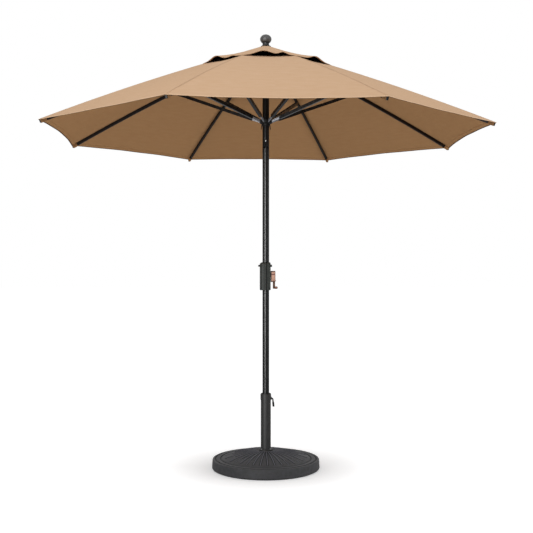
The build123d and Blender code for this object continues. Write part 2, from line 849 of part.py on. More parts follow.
with BuildPart() as top_hub:
    with BuildSketch(Plane.XZ):
        with BuildLine():
            bottom = hub_hinge_z - hub_half_height
            top = hub_hinge_z + hub_top_height
            Polyline(
                (pole_radius + pin_fit, bottom),
                (hub_radius - hub_edge, bottom),
                (hub_radius, bottom + hub_edge),
                (hub_radius, top - hub_edge),
                (hub_radius - hub_edge, top),
                (hub_core + hub_edge, top),
                (hub_core, top + hub_cap_height),
                (finial_stud + clearance, pole_top_z + hub_cap_height + 1),
                (finial_stud + clearance, pole_top_z),
                (pole_radius + pin_fit, pole_top_z),
                close=True,
            )
        make_face()
    revolve(axis=Axis.Z)
    radial_slots(bottom, top - bottom, hub_core, hub_slot)
    hinge_pins(hub_hinge_z, pin_seat, hub_pin_length, Mode.SUBTRACT)
save(top_hub.part, "top_hub")

with BuildPart() as hub_pins:
    hinge_pins(hub_hinge_z, pin_radius, hub_pin_length - 1)
save(hub_pins.part, "hub_pins")

with BuildPart() as runner:
    with BuildSketch(Plane.XZ):
        with BuildLine():
            top = runner_hinge_z + runner_above
            bottom = runner_hinge_z - runner_below
            Polyline(
                (runner_bore, bottom - runner_skirt),
                (runner_core + 1, bottom - runner_skirt),
                (runner_core + 1, bottom),
                (runner_radius - runner_cone, bottom + runner_cone),
                (runner_radius, bottom + 2 * runner_cone),
                (runner_radius, top - runner_edge),
                (runner_radius - runner_edge, top),
                (runner_core, top),
                (runner_core - 1, top + runner_edge),
                (runner_bore, top + runner_edge),
                close=True,
            )
        make_face()
    revolve(axis=Axis.Z)
    radial_slots(bottom, top - bottom, runner_core, runner_slot)
    hinge_pins(runner_hinge_z, pin_seat, hub_pin_length, Mode.SUBTRACT)
    ear_top = bottom - runner_skirt
    with BuildSketch(Plane.XZ):
        with BuildLine():
            Polyline(
                (runner_bore + 0.5, ear_top + 6),
                (runner_core + 0.8, ear_top + 6),
                (runner_core + 4, ear_top - ear_length / 2),
                (runner_core + 3, ear_top - ear_length / 2 - 8),
                (runner_core + 1, ear_top - ear_length / 2 - 4),
                (runner_bore + 0.5, ear_top - 6),
                close=True,
            )
        make_face()
        mirror(about=Plane.YZ)
    extrude(amount=ear_width / 2, both=True)
    with BuildSketch(Plane.XY.offset(ear_top - ear_length)):
        Circle(runner_bore)
    extrude(amount=ear_length + 20, mode=Mode.SUBTRACT)
save(runner.part, "runner")

with BuildPart() as runner_pins:
    hinge_pins(runner_hinge_z, pin_radius, hub_pin_length - 1)
save(runner_pins.part, "runner_pins")

finial_seat_z = flap_height(finial_base) + clearance
ball_middle_z = overall_height - finial_radius
neck_angle = degrees(acos(finial_neck / finial_radius))
neck_rise = ball_middle_z - finial_radius * sin(radians(neck_angle)) - finial_seat_z
with BuildPart() as finial:
    with BuildSketch(Plane.XZ):
        with BuildLine():
            ball = CenterArc((0, ball_middle_z), finial_radius, -neck_angle, 90 + neck_angle)
            Polyline(
                ball @ 1,
                (0, pole_top_z - finial_stud_length),
                (finial_stud, pole_top_z - finial_stud_length),
                (finial_stud, flap_height(finial_stud) + clearance),
                (finial_base, finial_seat_z),
                (finial_base, finial_seat_z + 3),
                (finial_neck + 3, finial_seat_z + neck_rise * 0.55),
                (finial_neck, finial_seat_z + neck_rise * 0.8),
                ball @ 0,
            )
        make_face()
    revolve(axis=Axis.Z)
save(finial.part, "finial")

# ---- Ribs and struts, modelled along +X ----


def rib_band(start, end, below, above):
    """Closed side outline of a stretch of the bowed rib."""
    middle = (start + end) / 2
    ThreePointArc(rib_point(start, above), rib_point(middle, above), rib_point(end, above))
    Line(rib_point(end, above), rib_point(end, below))
    ThreePointArc(rib_point(end, below), rib_point(middle, below), rib_point(start, below))
    Line(rib_point(start, below), rib_point(start, above))


rib_half = rib_depth / 2
rib_end_at = rib_chord - rib_cap_nose
with BuildPart() as rib:
    with BuildSketch(Plane.XZ):
        with BuildLine():
            rib_band(rib_tube_start, rib_end_at, -rib_half, rib_half)
        make_face()
    extrude(amount=rib_width / 2, both=True)
    long_edges = [edge for edge in rib.edges() if edge.length > rib_chord / 2]
    chamfer(long_edges, length=rib_edge)
    with BuildSketch(Plane.XZ):
        with BuildLine():
            rib_band(
                rib_tube_start + rib_tang_overlap,
                rib_end_at + 1,
                -rib_half + rib_wall,
                rib_half - rib_wall,
            )
        make_face()
    extrude(amount=rib_width / 2 - rib_wall, both=True, mode=Mode.SUBTRACT)
    with BuildSketch(Plane.XZ):
        with Locations(rib_point(0)):
            Circle(rib_tang_radius)
        with BuildLine():
            rib_band(0, rib_tube_start + rib_wall, -rib_tang_radius, rib_tang_radius)
        make_face()
    extrude(amount=rib_tang_width / 2, both=True)
    with BuildSketch(Plane.XZ):
        with Locations(rib_point(0), (joint_r, joint_z)):
            Circle(pin_hole)
    extrude(amount=rib_width, both=True, mode=Mode.SUBTRACT)
save_ring(rib.part, "rib")

with BuildPart() as rib_end:
    with BuildSketch(Plane.XZ):
        with BuildLine():
            rib_band(rib_end_at, rib_chord, -rib_half, rib_half)
        make_face()
    extrude(amount=rib_width / 2, both=True)
    nose = rib_end.faces().sort_by(Axis.X)[-1]
    fillet(nose.edges(), radius=rib_cap_edge)
    with BuildSketch(Plane.XZ):
        with BuildLine():
            plug_half = rib_half - rib_wall - pin_fit
            rib_band(rib_end_at - rib_cap_plug, rib_end_at, -plug_half, plug_half)
        make_face()
    extrude(amount=rib_width / 2 - rib_wall - pin_fit, both=True)
save_ring(rib_end.part, "rib_end")

strut_width = rib_width + 2 * (strut_side_play + strut_wall)
strut_inner = rib_width + 2 * strut_side_play
channel_end = strut_length - strut_fork
strut_plane = Plane(
    origin=(hinge_radius, 0, runner_hinge_z),
    x_dir=(cos(strut_slope), 0, sin(strut_slope)),
    z_dir=(0, -1, 0),
)
with BuildPart() as strut:
    with BuildSketch(strut_plane):
        with Locations(((strut_channel_start + channel_end) / 2, 0)):
            Rectangle(channel_end - strut_channel_start, strut_depth)
    extrude(amount=strut_width / 2, both=True)
    with BuildSketch(strut_plane):
        with Locations(((channel_end - 2 + strut_length) / 2, 0)):
            Rectangle(strut_fork + 2, strut_depth)
        with Locations((strut_length, 0)):
            Circle(strut_depth / 2)
    extrude(amount=strut_width / 2, both=True)
    with BuildSketch(strut_plane):
        with Locations(((channel_end + strut_length) / 2 + 10, 0)):
            Rectangle(strut_fork + 20, strut_depth + 1)
    extrude(amount=strut_inner / 2, both=True, mode=Mode.SUBTRACT)
    channel_from = strut_channel_start + strut_plug
    with BuildSketch(strut_plane):
        with Locations(((channel_from + channel_end + 1) / 2, strut_wall)):
            Rectangle(channel_end + 1 - channel_from, strut_depth)
    extrude(amount=strut_inner / 2, both=True, mode=Mode.SUBTRACT)
    with BuildSketch(strut_plane):
        Circle(strut_tang_radius)
        with Locations(((strut_channel_start + 4) / 2, 0)):
            Rectangle(strut_channel_start + 4, 2 * strut_tang_radius)
    extrude(amount=strut_tang_width / 2, both=True)
    with BuildSketch(strut_plane):
        Circle(pin_hole)
    extrude(amount=strut_width, both=True, mode=Mode.SUBTRACT)
    with BuildSketch(strut_plane):
        with Locations((strut_length, 0)):
            Circle(pin_radius)
    extrude(amount=strut_width / 2, both=True)
    for side in (-1, 1):
        with BuildSketch(strut_plane.offset(side * strut_width / 2)):
            with Locations((strut_length, 0)):
                Circle(rivet_head_radius)
        extrude(amount=side * rivet_head)
save_ring(strut.part, "strut")

# ---- Canopy, modelled along +X ----

panel_cos = cos(radians(half_panel))
panel_sin = sin(radians(half_panel))
panel_plane = Plane(
    origin=(panel_gap * panel_sin, -panel_gap * panel_cos, 0),
    x_dir=(panel_cos, panel_sin, 0),
    z_dir=(panel_sin, -panel_cos, 0),
)
tip_radius = hinge_radius + rib_reach + tip_overhang
cut_room = 60.0  # beyond the cloth at both ends of a cut


def at_mid_panel(point):
    """Moves a point of the rib's plane level along the cloth to the middle of the panel."""
    return (point[0] * panel_cos, point[1])


def panel_plan(inner, outer, scallop):
    """Plan of a panel between two ribs, straight above and scalloped at its hem."""
    Line(polar(inner, 0), polar(outer, 0))
    ThreePointArc(
        polar(outer, 0),
        polar(outer * panel_cos - scallop, half_panel),
        polar(outer, rib_angle),
    )
    Line(polar(outer, rib_angle), polar(inner, rib_angle))
    Line(polar(inner, rib_angle), polar(inner, 0))


with BuildPart() as panel:
    with BuildSketch(panel_plane):
        with BuildLine():
            start, middle, end = vent_radius / 2, rib_chord / 2, rib_chord + 30
            upper = [at_mid_panel(rib_point(place, cloth_above)) for place in (start, middle, end)]
            lower = [at_mid_panel(rib_point(place, cloth_below)) for place in (end, middle, start)]
            ThreePointArc(*upper)
            Line(upper[-1], lower[0])
            ThreePointArc(*lower)
            Line(lower[-1], upper[0])
        make_face()
    extrude(amount=tip_radius * tan(radians(half_panel)) + 20)
    with BuildSketch(Plane.XY.offset(hub_hinge_z - rib_drop - cut_room)):
        with BuildLine():
            panel_plan(vent_radius, tip_radius, hem_scallop)
        make_face()
    extrude(amount=rib_drop + 2 * cut_room, mode=Mode.INTERSECT)
    mirror(about=Plane.XZ)

with BuildPart() as flap:
    with BuildSketch(panel_plane):
        with BuildLine():
            outer = flap_radius + 20
            Polyline(
                at_mid_panel((0, flap_height(0))),
                at_mid_panel((outer, flap_height(outer))),
                at_mid_panel((outer, flap_height(outer, cloth))),
                at_mid_panel((0, flap_height(0, cloth))),
                close=True,
            )
        make_face()
    extrude(amount=outer * tan(radians(half_panel)))
    with BuildSketch(Plane.XY.offset(flap_corner_z - cut_room)):
        with BuildLine():
            panel_plan(flap_hole, flap_radius, 0.5)
        make_face()
    extrude(amount=flap_apex_z - flap_corner_z + 2 * cut_room, mode=Mode.INTERSECT)
    mirror(about=Plane.XZ)

with BuildPart() as canopy_gore:
    add(panel.part)
    add(flap.part)
save_ring(canopy_gore.part, "canopy_gore")

print("rib hinge", hinge_radius, hub_hinge_z)
print("strut hinge", round(joint_r, 3), round(joint_z, 3))
print("runner hinge", round(runner_hinge_z, 3))
print("strut length", round(strut_length, 3), "slope", round(degrees(strut_slope), 3))
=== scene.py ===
# %% [markdown]
# # A market umbrella on a round stand
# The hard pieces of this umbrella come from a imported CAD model: poles, ribs, struts, hub, runner,
# crank and stand. This script dresses them. It gives every hard piece a finish, and it makes what
# a CAD model only roughs out: the sewn panels with their hems, seams and pockets, the vent's flap
# and net, and the ball on top. Everything is in metres, +Z is up, and the origin is on the floor
# under the stand.

# %% Load the frame
import json
import math

import bpy
import numpy as np
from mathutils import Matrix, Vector


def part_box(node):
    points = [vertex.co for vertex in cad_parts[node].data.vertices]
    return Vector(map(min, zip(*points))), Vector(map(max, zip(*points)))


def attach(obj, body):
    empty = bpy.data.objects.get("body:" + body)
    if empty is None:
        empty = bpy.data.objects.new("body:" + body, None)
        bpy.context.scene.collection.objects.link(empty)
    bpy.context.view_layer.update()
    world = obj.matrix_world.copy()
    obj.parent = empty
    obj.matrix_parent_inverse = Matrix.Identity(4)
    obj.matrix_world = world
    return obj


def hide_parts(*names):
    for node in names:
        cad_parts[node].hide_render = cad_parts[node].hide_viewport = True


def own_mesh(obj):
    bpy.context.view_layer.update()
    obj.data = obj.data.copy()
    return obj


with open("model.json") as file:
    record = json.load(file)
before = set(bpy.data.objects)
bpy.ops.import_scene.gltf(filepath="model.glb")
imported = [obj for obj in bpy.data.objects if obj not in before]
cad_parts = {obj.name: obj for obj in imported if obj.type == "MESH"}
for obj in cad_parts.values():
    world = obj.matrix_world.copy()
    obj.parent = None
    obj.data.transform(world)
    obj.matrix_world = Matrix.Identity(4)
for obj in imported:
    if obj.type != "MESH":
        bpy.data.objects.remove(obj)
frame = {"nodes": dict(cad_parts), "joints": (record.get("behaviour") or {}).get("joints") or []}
nodes = frame["nodes"]
joints = {joint["name"]: joint for joint in frame["joints"]}
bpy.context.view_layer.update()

# %% [markdown]
# A few sizes are read from the frame, so that the cloth fits whatever frame is packed. The hinge
# of the first rib gives the ring that all ribs swing on, and its place gives the rib's direction.

# %% Sizes read from the frame
RIBS = 8
RIB_STEP = 2 * math.pi / RIBS
HALF = RIB_STEP / 2
fold = joints["canopy_fold"]
hinge = Vector(fold["pos_m"])
hinge_radius = math.hypot(hinge.x, hinge.y)
first_azimuth = math.atan2(hinge.y, hinge.x)
tip_radius = max(math.hypot(v.co.x, v.co.y) for v in nodes["canopy_gore_1"].data.vertices)
print("hinge ring", round(hinge_radius, 4), "tip radius", round(tip_radius, 4))


def azimuth_of(number):
    """Direction of a rib, in radians."""
    return first_azimuth + (number - 1) * RIB_STEP


# %% [markdown]
# An operator acts on all that is selected, and a freshly loaded frame is selected. These helpers
# keep the selection clean, put a finished piece's place into its mesh, shade it, and give a sheet
# its thickness.

# %% Helpers for finishing a piece
def only(piece):
    """Selects one piece and makes it active."""
    bpy.ops.object.select_all(action="DESELECT")
    piece.select_set(True)
    bpy.context.view_layer.objects.active = piece


def settle(piece, name):
    """Names a finished piece and puts its place, turn and scale into its mesh."""
    only(piece)
    bpy.ops.object.transform_apply(location=True, rotation=True, scale=True)
    piece.name = name
    piece.data.name = name
    return piece


def smooth(piece, degrees=35):
    """Smooth shading that keeps the true corners."""
    only(piece)
    bpy.ops.object.shade_smooth_by_angle(angle=math.radians(degrees))
    return piece


def thicken(piece, thickness, offset, inner_slot=False):
    """Gives a sheet its thickness, with its second material on the far side if it has one."""
    only(piece)
    solid = piece.modifiers.new("thickness", "SOLIDIFY")
    solid.thickness = thickness
    solid.offset = offset
    solid.use_even_offset = True
    if inner_slot:
        solid.material_offset = 1
    bpy.ops.object.modifier_apply(modifier=solid.name)


bpy.ops.object.select_all(action="DESELECT")
print("nodes to dress", len(nodes))

# %% [markdown]
# ## Finishes
# Every finish is a small node tree on a Principled shader, and no real surface is one flat colour.
# These helpers make the parts that all finishes share: a colour that varies a little with noise,
# and a bump. The noise reads Object coordinates in metres, so a scale of 100 is a grain of about
# a centimetre.

# %% Parts that all finishes share
def srgb(red, green, blue):
    """Linear colour from eight-bit screen values."""

    def linear(value):
        value /= 255
        return value / 12.92 if value <= 0.04045 else ((value + 0.055) / 1.055) ** 2.4

    return (linear(red), linear(green), linear(blue), 1.0)


def link(tree, source, output, target, socket):
    """Joins two sockets of a node tree."""
    tree.links.new(source.outputs[output], target.inputs[socket])


def noise(tree, scale, detail=3.0, coordinates="Object", stretch=(1, 1, 1)):
    """Noise on the piece's own coordinates."""
    place = tree.nodes.new("ShaderNodeTexCoord")
    turn = tree.nodes.new("ShaderNodeMapping")
    turn.inputs["Scale"].default_value = stretch
    grain = tree.nodes.new("ShaderNodeTexNoise")
    grain.inputs["Scale"].default_value = scale
    grain.inputs["Detail"].default_value = detail
    link(tree, place, coordinates, turn, "Vector")
    link(tree, turn, "Vector", grain, "Vector")
    return grain


def two_tones(tree, source, start, end, dark, light):
    """A colour that goes from dark to light while a noise rises from start to end."""
    ramp = tree.nodes.new("ShaderNodeValToRGB")
    for element, place, color in zip(ramp.color_ramp.elements, (start, end), (dark, light)):
        element.position = place
        element.color = color
    link(tree, source, "Fac", ramp, "Fac")
    return ramp


def span(tree, value, low, high):
    """A node that stretches a value between 0 and 1 to lie between two others."""
    node = tree.nodes.new("ShaderNodeMapRange")
    node.inputs["To Min"].default_value = low
    node.inputs["To Max"].default_value = high
    tree.links.new(value, node.inputs["Value"])
    return node


def grain_on(tree, value, height):
    """A bump on the shader, with its height in metres."""
    bump = tree.nodes.new("ShaderNodeBump")
    bump.inputs["Distance"].default_value = height
    bump.inputs["Strength"].default_value = 1.0
    tree.links.new(value, bump.inputs["Height"])
    link(tree, bump, "Normal", tree.nodes["Principled BSDF"], "Normal")


print("helpers for finishes: srgb, link, noise, two_tones, span, grain_on")

# %% [markdown]
# `finish` puts them together. The same noise drives the colour and the roughness, as on a real
# coating, where a paler patch is often a duller one. The grain is a second, finer noise, and a
# piece as smooth as the poles goes without it. Other sockets are set by their names, with an
# underscore for each space.

# %% A finish for hard pieces
def finish(
    name, dark, light, patch_scale, roughness, grain_scale=0.0, grain_height=0.0, **sockets
):
    """A material whose colour wanders between two tones, with a fine grain in its surface."""
    material = bpy.data.materials.new(name)
    material.use_nodes = True
    tree = material.node_tree
    shader = tree.nodes["Principled BSDF"]
    patches = noise(tree, patch_scale)
    ramp = two_tones(tree, patches, 0.3, 0.7, dark, light)
    link(tree, ramp, "Color", shader, "Base Color")
    link(tree, span(tree, patches.outputs["Fac"], *roughness), "Result", shader, "Roughness")
    if grain_height:
        grain_on(tree, noise(tree, grain_scale, 2.0).outputs["Fac"], grain_height)
    for socket, value in sockets.items():
        shader.inputs[socket.replace("_", " ")].default_value = value
    return material


print("a finish has a colour, a roughness and, if asked, a grain")

# %% [markdown]
# Some pieces change finish from one place to another: a strut ends in a bare steel tang, and the
# cast stand gets painted shade in its corners and a painted highlight on its rays. Such a mask
# could be painted by hand, but one that is worked out from the place of each point needs no image.
# `math_node` is one sum, `place_parts` gives the parts of a point, the three masks are 1 on one
# side of an edge or between two, and `blend_over` lays a second colour over the first where a mask
# is 1.

# %% Masks by place
def math_node(tree, operation, first, second=0.0, clamp=False):
    """One Math node; its inputs are numbers or output sockets."""
    node = tree.nodes.new("ShaderNodeMath")
    node.operation = operation
    node.use_clamp = clamp
    for index, value in enumerate((first, second)):
        if isinstance(value, (int, float)):
            node.inputs[index].default_value = value
        else:
            tree.links.new(value, node.inputs[index])
    return node.outputs["Value"]


def place_parts(tree):
    """The x, y and z of a point, and its distance from the pole's axis."""
    place = tree.nodes.new("ShaderNodeTexCoord")
    split = tree.nodes.new("ShaderNodeSeparateXYZ")
    link(tree, place, "Object", split, "Vector")
    x, y, z = split.outputs
    x_square = math_node(tree, "MULTIPLY", x, x)
    y_square = math_node(tree, "MULTIPLY", y, y)
    return x, y, z, math_node(tree, "SQRT", math_node(tree, "ADD", x_square, y_square))


def above_mask(tree, value, edge, softness):
    """0 below an edge and 1 above it."""
    past_edge = math_node(tree, "DIVIDE", math_node(tree, "SUBTRACT", value, edge), softness)
    return math_node(tree, "ADD", past_edge, 0.5, clamp=True)


def below_mask(tree, value, edge, softness):
    """1 below an edge and 0 above it."""
    return math_node(tree, "SUBTRACT", 1.0, above_mask(tree, value, edge, softness))


def band_mask(tree, value, low, high, softness):
    """1 between two values."""
    above = above_mask(tree, value, low, softness)
    return math_node(tree, "MULTIPLY", above, below_mask(tree, value, high, softness))


def blend_over(material, mask, color, socket="Base Color"):
    """Lays a colour or a number over what feeds a socket of the shader."""
    tree = material.node_tree
    shader = tree.nodes["Principled BSDF"]
    mix = tree.nodes.new("ShaderNodeMix")
    is_color = socket == "Base Color"
    mix.data_type = "RGBA" if is_color else "FLOAT"
    first, second, result = (6, 7, 2) if is_color else (2, 3, 0)
    tree.links.new(mask, mix.inputs[0])
    if shader.inputs[socket].is_linked:
        tree.links.new(shader.inputs[socket].links[0].from_socket, mix.inputs[first])
    else:
        mix.inputs[first].default_value = shader.inputs[socket].default_value
    mix.inputs[second].default_value = color
    tree.links.new(mix.outputs[result], shader.inputs[socket])


print("helpers for masks: math_node, place_parts, above_mask, below_mask, band_mask, blend_over")

# %% [markdown]
# The poles and struts are coated black and smooth enough to draw a bright line down a tube. They
# get no bump, because grain would break that line up on a piece so thin. The ribs are browner and
# duller, like the moulded pieces, and the stand and the finial are cast, with a coarser skin. A
# low Specular level keeps dark paint dark in a white room.

# %% Finishes of the hard pieces
pole_black = finish(
    "pole_black", srgb(14, 16, 16), srgb(22, 24, 24), 30, (0.3, 0.3),
    Specular_IOR_Level=0.17,
)
rib_black = finish(
    "rib_black", srgb(26, 18, 13), srgb(33, 24, 18), 40, (0.4, 0.52), 900, 0.00003,
    Specular_IOR_Level=0.15,
)
strut_black = finish(
    "strut_black", srgb(20, 20, 21), srgb(30, 30, 32), 40, (0.22, 0.32),
    Specular_IOR_Level=0.3,
)
hub_black = finish(
    "hub_black", srgb(20, 20, 20), srgb(28, 28, 27), 60, (0.42, 0.55), 1500, 0.00004,
    Specular_IOR_Level=0.12,
)
housing_grey = finish(
    "housing_grey", srgb(69, 73, 70), srgb(76, 80, 77), 25, (0.45, 0.52), 1800, 0.000015,
    Specular_IOR_Level=0.07,
)
finial_grey = finish(
    "finial_grey", srgb(58, 58, 58), srgb(98, 98, 98), 260, (0.42, 0.55), 420, 0.0012,
    Specular_IOR_Level=0.3,
)
stem_grey = finish(
    "stem_grey", srgb(48, 48, 48), srgb(58, 58, 58), 25, (0.45, 0.58), 1400, 0.00003,
    Specular_IOR_Level=0.16,
)
base_grey = finish(
    "base_grey", srgb(71, 72, 73), srgb(81, 81, 84), 60, (0.45, 0.55), 500, 0.00015,
    Specular_IOR_Level=0.04,
)
lever_black = finish(
    "lever_black", srgb(12, 12, 12), srgb(20, 20, 20), 60, (0.35, 0.5), 1500, 0.00005,
    Specular_IOR_Level=0.03,
)
copper = finish(
    "copper", srgb(124, 90, 74), srgb(148, 112, 94), 50, (0.34, 0.44), 900, 0.00005,
    Metallic=0.5, Coat_Weight=0.1,
)
copper_dark = finish(
    "copper_dark", srgb(94, 54, 36), srgb(118, 72, 50), 70, (0.35, 0.5), 900, 0.00005,
    Metallic=0.5,
)
arm_brown = finish(
    "arm_brown", srgb(56, 34, 18), srgb(76, 48, 28), 70, (0.4, 0.5), 900, 0.00005,
    Metallic=0.3, Specular_IOR_Level=0.1,
)
steel = finish(
    "steel", srgb(150, 150, 150), srgb(180, 180, 182), 90, (0.25, 0.38), 1200, 0.00003,
    Metallic=1.0,
)
rubber = finish("rubber", srgb(14, 14, 14), srgb(22, 22, 22), 60, (0.7, 0.85), 900, 0.0001)
print("materials so far", len(bpy.data.materials))

# %% [markdown]
# The struts end in bare steel tangs at the runner. They are part of the same node as the painted
# channel, so they are found by their distance from the pole, and the mask also makes them more
# metallic and a little duller.

# %% Bare tangs of the struts
TANG_LENGTH = 0.052
TANG_SOFTNESS = 0.004
tree = strut_black.node_tree
_, _, _, from_axis = place_parts(tree)
bare = below_mask(tree, from_axis, hinge_radius + TANG_LENGTH, TANG_SOFTNESS)
blend_over(strut_black, bare, srgb(150, 152, 158))
blend_over(strut_black, bare, 0.4, "Metallic")
blend_over(strut_black, bare, 0.42, "Roughness")
print("bare steel within", round(hinge_radius + TANG_LENGTH, 4), "of the pole's axis")

# %% [markdown]
# The cast stand has a sunburst of raised rays on its top. Their tops are painted paler, a painted
# highlight, and a dark line of painted shade follows both sides of every ray, and two more lie in
# the grooves of the ring round the dome. A ray is found by its angle, and the distance from its
# middle line is angle times radius.

# %% Painted shade and highlight on the stand's rays
RAYS = 36
RAY_HALF_WIDTH = 0.0025
SHADE_LINE_WIDTH = 0.0036
SHADE_LINE_SOFTNESS = 0.0012
DOME_START, DOME_END, DOME_SOFTNESS = 0.054, 0.232, 0.006
RAY_HIGHLIGHT_SOFTNESS = 0.0008
RAY_HIGHLIGHT_SHARE = 0.6
RING_GROOVES = ((0.2535, 0.2595), (0.2825, 0.2885))
GROOVE_SOFTNESS = 0.001
tree = base_grey.node_tree
x, y, _, from_axis = place_parts(tree)
turn = math_node(tree, "MULTIPLY", math_node(tree, "ARCTAN2", y, x), RAYS / (2 * math.pi))
off_ray = math_node(tree, "PINGPONG", turn, 0.5)
off_angle = math_node(tree, "MULTIPLY", off_ray, 2 * math.pi / RAYS)
aside = math_node(tree, "MULTIPLY", off_angle, from_axis)
# Painted shade: a dark line along both sides of every ray.
shade_beside_ray = band_mask(tree, aside, RAY_HALF_WIDTH, RAY_HALF_WIDTH + SHADE_LINE_WIDTH, SHADE_LINE_SOFTNESS)
on_dome = band_mask(tree, from_axis, DOME_START, DOME_END, DOME_SOFTNESS)
blend_over(base_grey, math_node(tree, "MULTIPLY", shade_beside_ray, on_dome), srgb(26, 27, 29))
# Painted highlight: the tops of the rays are made paler.
on_ray = below_mask(tree, aside, RAY_HALF_WIDTH, RAY_HIGHLIGHT_SOFTNESS)
ray_highlight = math_node(tree, "MULTIPLY", math_node(tree, "MULTIPLY", on_ray, on_dome), RAY_HIGHLIGHT_SHARE)
blend_over(base_grey, ray_highlight, srgb(118, 119, 129))
# Painted shade in the two grooves of the ring.
for inner, outer in RING_GROOVES:
    groove_shade = band_mask(tree, from_axis, inner, outer, GROOVE_SOFTNESS)
    blend_over(base_grey, groove_shade, srgb(18, 19, 21))
print("painted_shade beside", RAYS, "rays and in", len(RING_GROOVES), "grooves")

# %% [markdown]
# The crank is finished in copper. Its block has a dark joint line round it at the height of the
# shaft, a darker brown top, and painted shadow along the edge where it faces the housing. All three
# are masks by place, because the block is one smooth casting with no edges there to give materials
# to.

# %% Joint line, top and painted shadow on the crank
BLOCK_LENGTH = 0.063
BLOCK_SIDE = 0.0283
SIDE_SHADE = 0.0038
JOINT_HALF_WIDTH = 0.0030
TOP_SHADE = 0.002
_, handle_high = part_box("crank_handle")
crank_height = joints["crank_turn"]["pos_m"][2]
block_foot = handle_high.z - BLOCK_LENGTH
tree = copper.node_tree
x, _, height, _ = place_parts(tree)
joint_low, joint_high = crank_height - JOINT_HALF_WIDTH, crank_height + JOINT_HALF_WIDTH
blend_over(copper, band_mask(tree, height, joint_low, joint_high, 0.0012), srgb(80, 34, 26))
block_top = above_mask(tree, height, handle_high.z - TOP_SHADE, 0.003)
blend_over(copper, block_top, srgb(104, 68, 54))
# Painted shadow along the block's edge that faces the housing.
shadow_by_housing = below_mask(tree, x, BLOCK_SIDE + SIDE_SHADE, 0.0015)
blend_over(copper, shadow_by_housing, srgb(52, 38, 28))
print("crank line at", round(crank_height, 4), "foot at", round(block_foot, 4))

# %% [markdown]
# The crank's housing is moulded in two halves, left and right. Their joint is a groove down the
# front, and the dark line in it is painted shade. A real gap so narrow would be lost, so the line
# is drawn by a mask on x.

# %% Painted shade in the joint line of the crank housing
LINE_LEFT, LINE_RIGHT, LINE_SOFTNESS = 0.0006, 0.0056, 0.0008
tree = housing_grey.node_tree
x, _, _, _ = place_parts(tree)
blend_over(
    housing_grey, band_mask(tree, x, LINE_LEFT, LINE_RIGHT, LINE_SOFTNESS), srgb(6, 7, 7)
)
print("joint line", round(LINE_RIGHT - LINE_LEFT, 4), "wide")

# %% [markdown]
# One table gives every hard node its finish, and replaces the plain material that it came with.

# %% Finishes on the CAD nodes
NODE_FINISH = {
    "base_weight": base_grey,
    "base_foot_ring": rubber,
    "stem_tube": stem_grey,
    "stem_collar": stem_grey,
    "pole_bushing": hub_black,
    "flange_screws": steel,
    "clamp_screw": lever_black,
    "lower_pole": pole_black,
    "upper_pole": pole_black,
    "crank_housing_left": housing_grey,
    "crank_housing_right": housing_grey,
    "housing_bolts": lever_black,
    "cord_spool": steel,
    "crank_bushing": hub_black,
    "crank_handle": copper,
    "crank_grip": copper_dark,
    "tilt_socket": pole_black,
    "tilt_fork": pole_black,
    "tilt_pin": steel,
    "tilt_button": steel,
    "top_hub": hub_black,
    "hub_pins": steel,
    "cord_pulley": hub_black,
    "pulley_pin": steel,
    "runner": hub_black,
    "runner_pins": steel,
    "finial": finial_grey,
}
for number in range(1, RIBS + 1):
    NODE_FINISH[f"rib_{number}"] = rib_black
    NODE_FINISH[f"rib_end_{number}"] = hub_black
    NODE_FINISH[f"strut_{number}"] = strut_black
for name, material in NODE_FINISH.items():
    nodes[name].data.materials.clear()
    nodes[name].data.materials.append(material)
print("finishes on", len(NODE_FINISH), "nodes")

# %% [markdown]
# The crank's arm is part of the same node as its block, but it is tarnished brown all over. A mask
# would do, but here a true edge parts the two, so the arm's faces get a second material. They are
# found by their height, below the foot of the block.

# %% The crank's brown arm
FOOT_MARGIN = 0.0005
handle = nodes["crank_handle"].data
handle.materials.append(arm_brown)
for polygon in handle.polygons:
    polygon.material_index = 1 if polygon.center.z < block_foot - FOOT_MARGIN else 0
print("faces on the arm", sum(polygon.material_index for polygon in handle.polygons))

# %% [markdown]
# ## The cloth
# The canopy is a woven polyester. Two crossed waves make its weave, a few threads to each wave, on
# the piece's own UV map, which is laid out in metres along and across each panel. A stretched
# noise makes some threads thicker and paler. The cloth is dull, so its Specular level is zero.
# The top is tan, and the underside is a darker, browner copy of it: painted shade.

# %% The woven finish
WEAVE_STEP = 0.0069115
BANDS_PER_METRE = 20 / (2 * math.pi)  # what a wave texture draws at a scale of 1
WEAVE_SHADE = 0.12


def woven(name, dark, light, bump_height, roughness=0.82, sheen=0.15):
    """A woven cloth, read on a UV map in metres."""
    material = bpy.data.materials.new(name)
    material.use_nodes = True
    tree = material.node_tree
    shader = tree.nodes["Principled BSDF"]
    place = tree.nodes.new("ShaderNodeTexCoord")
    waves = []
    for direction in ("X", "Y"):
        wave = tree.nodes.new("ShaderNodeTexWave")
        wave.bands_direction = direction
        wave.inputs["Scale"].default_value = 1 / (WEAVE_STEP * BANDS_PER_METRE)
        wave.inputs["Distortion"].default_value = 0.4
        wave.inputs["Detail"].default_value = 0.0
        link(tree, place, "UV", wave, "Vector")
        waves.append(wave.outputs["Fac"])
    weave = math_node(tree, "MAXIMUM", *waves)
    slubs = noise(tree, 14, detail=4.0, coordinates="UV", stretch=(1, 3, 1))
    ramp = two_tones(tree, slubs, 0.25, 0.75, dark, light)
    shade = tree.nodes.new("ShaderNodeMix")
    shade.data_type = "RGBA"
    shade.blend_type = "MULTIPLY"
    shade.inputs["Factor"].default_value = WEAVE_SHADE
    link(tree, ramp, "Color", shade, 6)
    tree.links.new(weave, shade.inputs[7])
    tree.links.new(shade.outputs[2], shader.inputs["Base Color"])
    grain_on(tree, weave, bump_height)
    shader.inputs["Roughness"].default_value = roughness
    shader.inputs["Sheen Weight"].default_value = sheen
    shader.inputs["Specular IOR Level"].default_value = 0.0
    return material


